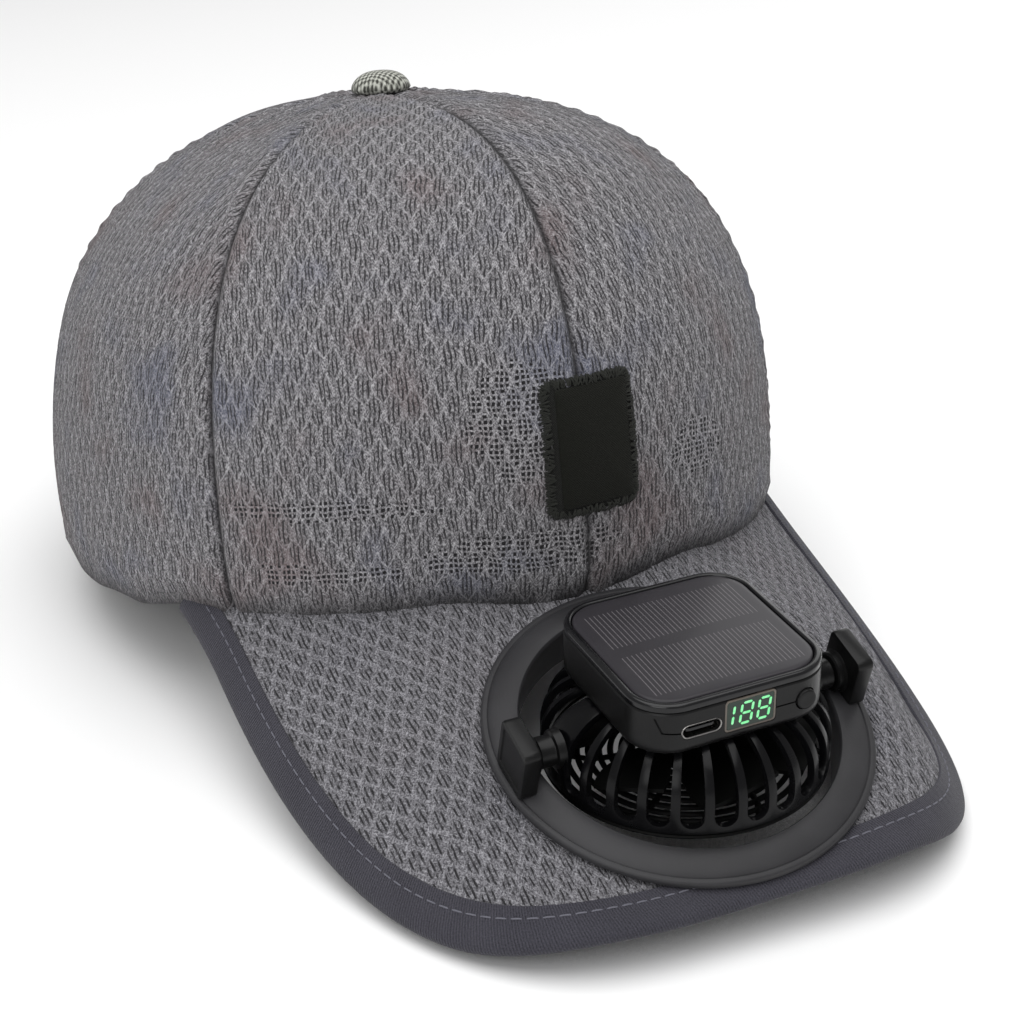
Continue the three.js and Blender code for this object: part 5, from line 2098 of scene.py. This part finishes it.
    def _bar(self, sketch: MeshSketch, centre: float, bar: str) -> None:
        """Adds one bar of a digit.

        Args:
            sketch: Where it goes.
            centre: Place of the digit's middle.
            bar: Its letter, from a at the top, clockwise, to g in the middle.
        """
        w, h, t = self.digit_width / 2, self.digit_height / 2, self.digit_bar / 2
        spots = {"a": (0, h, 0), "b": (w, h / 2, 1), "c": (w, -h / 2, 1), "d": (0, -h, 0),
                 "e": (-w, -h / 2, 1), "f": (-w, h / 2, 1), "g": (0, 0, 0)}
        x, z, upright = spots[bar]
        length = (h / 2 if upright else w) - 0.24
        inner = length - t
        flat = np.array([(-length, 0), (-inner, -t), (inner, -t), (length, 0), (inner, t), (-inner, t)])
        if upright:
            flat = flat[:, ::-1] * [1, -1]
        flat = flat + [x, z]
        flat[:, 0] += flat[:, 1] * self.digit_slant + centre + self.display_side
        flat[:, 1] += self.low + self.display_lift
        sketch.loft(self._sunk((flat, 0.12), (flat, 0.02)))

    def _button(self) -> Piece:
        """The round button."""
        radius = self.button_radius
        profile = [
            (0.01, 1.9), (radius, 1.9), (radius, -0.25), (radius - 0.12, -0.4), (radius - 0.4, -0.47),
            (radius * 0.5, -0.42), (0.01, -0.40),
        ]
        shift = np.array([self.button_side, self.front, self.low + self.button_lift])
        return self.lofted("button_cap", [loop + shift for loop in lathe_loops(profile, 48, "y")])


@dataclass(frozen=True)
class SoftBox:
    """A square soft light: its place and side in metres, and its power in watts."""

    name: str
    spot: tuple[float, float, float]
    size: float
    power: float


@dataclass
class Studio:
    """Pale floor, soft lights and the camera."""

    place: Matrix
    azimuth: float = math.radians(-23.65)
    elevation: float = math.radians(16.4)
    roll: float = math.radians(-4.13)
    target: tuple[float, float, float] = (2.2, -60.0, 20.0)
    distance: float = 481.0
    focal_share: float = 2.01
    sensor: float = 36.0
    clip: tuple[float, float] = (0.02, 50.0)
    floor_size: float = 14.0
    floor_colour: Colour = (0.93, 0.93, 0.93)
    floor_shadow: Colour = (0.012, 0.012, 0.013)
    shadow_reach: float = 0.09
    shadow_open: tuple[float, float] = (0.05, 0.2)
    surround: float = 0.45
    aim: tuple[float, float, float] = (0.0, -0.03, 0.06)
    boxes: tuple[SoftBox, ...] = (
        SoftBox("overhead", (-0.1, -0.2, 1.3), 1.5, 16.5),
        SoftBox("front_left", (-1.0, -1.1, 0.8), 0.9, 6.5),
        SoftBox("back_right", (0.9, 0.7, 0.7), 0.7, 2.5),
    )

    def build(self) -> None:
        """Builds the floor, the lights and the camera."""
        self._floor()
        self._camera()
        self._lights()

    def _floor(self) -> None:
        """A plain floor with a faint unevenness, with painted shadow where the hat closes it in."""
        half = self.floor_size / 2
        mesh = bpy.data.meshes.new("floor")
        corners = [(-half, -half, 0.0), (half, -half, 0.0), (half, half, 0.0), (-half, half, 0.0)]
        mesh.from_pydata(corners, [], [(0, 1, 2, 3)])
        finish = Finish("pale_floor", 0.9)
        soft = finish.noise(finish.place(), 2.0)
        pale = finish.mix(soft, self.floor_colour, tuple(0.985 * part for part in self.floor_colour))
        # Painted shadow: the floor's colour goes to the shadow colour where ambient occlusion finds the hat
        # close by.
        open_air = finish.open_air(self.shadow_reach).step(*self.shadow_open)
        finish.colour(finish.mix(open_air, self.floor_shadow, pale))
        mesh.materials.append(finish.material)
        linked("floor", mesh)

    def _camera(self) -> None:
        """The camera at the photograph's angle to the hat."""
        a, e, r = self.azimuth, self.elevation, self.roll
        back = Vector((math.sin(a) * math.cos(e), -math.cos(a) * math.cos(e), math.sin(e)))
        right = Vector((math.cos(a), math.sin(a), 0.0))
        up = back.cross(right)
        turned_right = math.cos(r) * right + math.sin(r) * up
        turned_up = -math.sin(r) * right + math.cos(r) * up
        turn = self.place.to_3x3().normalized()
        axes = [turn @ axis for axis in (turned_right, turned_up, back)]
        spot = self.place @ (Vector(self.target) + self.distance * back)
        data = bpy.data.cameras.new("camera")
        data.sensor_width = self.sensor
        data.lens = self.sensor * self.focal_share
        data.clip_start, data.clip_end = self.clip
        camera = linked("camera", data)
        camera.matrix_world = Matrix.Translation(spot) @ Matrix(axes).transposed().to_4x4()
        bpy.context.scene.camera = camera

    def _lights(self) -> None:
        """Soft boxes above, in front and behind, and a pale surround."""
        world = bpy.data.worlds.new("surround")
        bpy.context.scene.world = world
        world.use_nodes = True
        shade = world.node_tree.nodes["Background"]
        shade.inputs["Color"].default_value = (1.0, 1.0, 1.0, 1.0)
        shade.inputs["Strength"].default_value = self.surround
        for box in self.boxes:
            self._box_light(box)
        bpy.context.scene.view_settings.view_transform = "Standard"

    def _box_light(self, box: SoftBox) -> None:
        """Adds a soft box that faces the hat.

        Args:
            box: The light's place, side and power.
        """
        data = bpy.data.lights.new(box.name, "AREA")
        data.shape = "SQUARE"
        data.size = box.size
        data.energy = box.power
        turn = (Vector(self.aim) - Vector(box.spot)).to_track_quat("-Z", "Y").to_matrix().to_4x4()
        linked(box.name, data).matrix_world = Matrix.Translation(box.spot) @ turn


def corners(box: tuple[Vector, Vector]) -> list[list[float]]:
    """A box's two corners as plain numbers."""
    return [[float(part) for part in corner] for corner in box]


def main() -> None:
    """Builds the hat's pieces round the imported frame, and the studio."""
    logging.basicConfig(level=logging.INFO, format="%(message)s")
    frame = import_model()
    shape = HatShape()
    places = Places.from_frame(shape, frame["joints"])
    Studio(places.hat).build()
    finishes = Finishes()
    Bill(shape, places.hat, finishes).build()
    Crown(shape, places.hat, finishes).build()
    Patch(shape, places.hat, finishes).build()
    mount = Mount(shape, places.ring, finishes)
    mount.build()
    FanUnit(shape, places.unit, finishes, mount.boss_end).build()
    box_place = places.unit @ Matrix.Translation((0.0, -shape.box_forward, 0.0))
    SolarBox(shape, box_place, finishes).build()


if __name__ == "__main__":
    main()
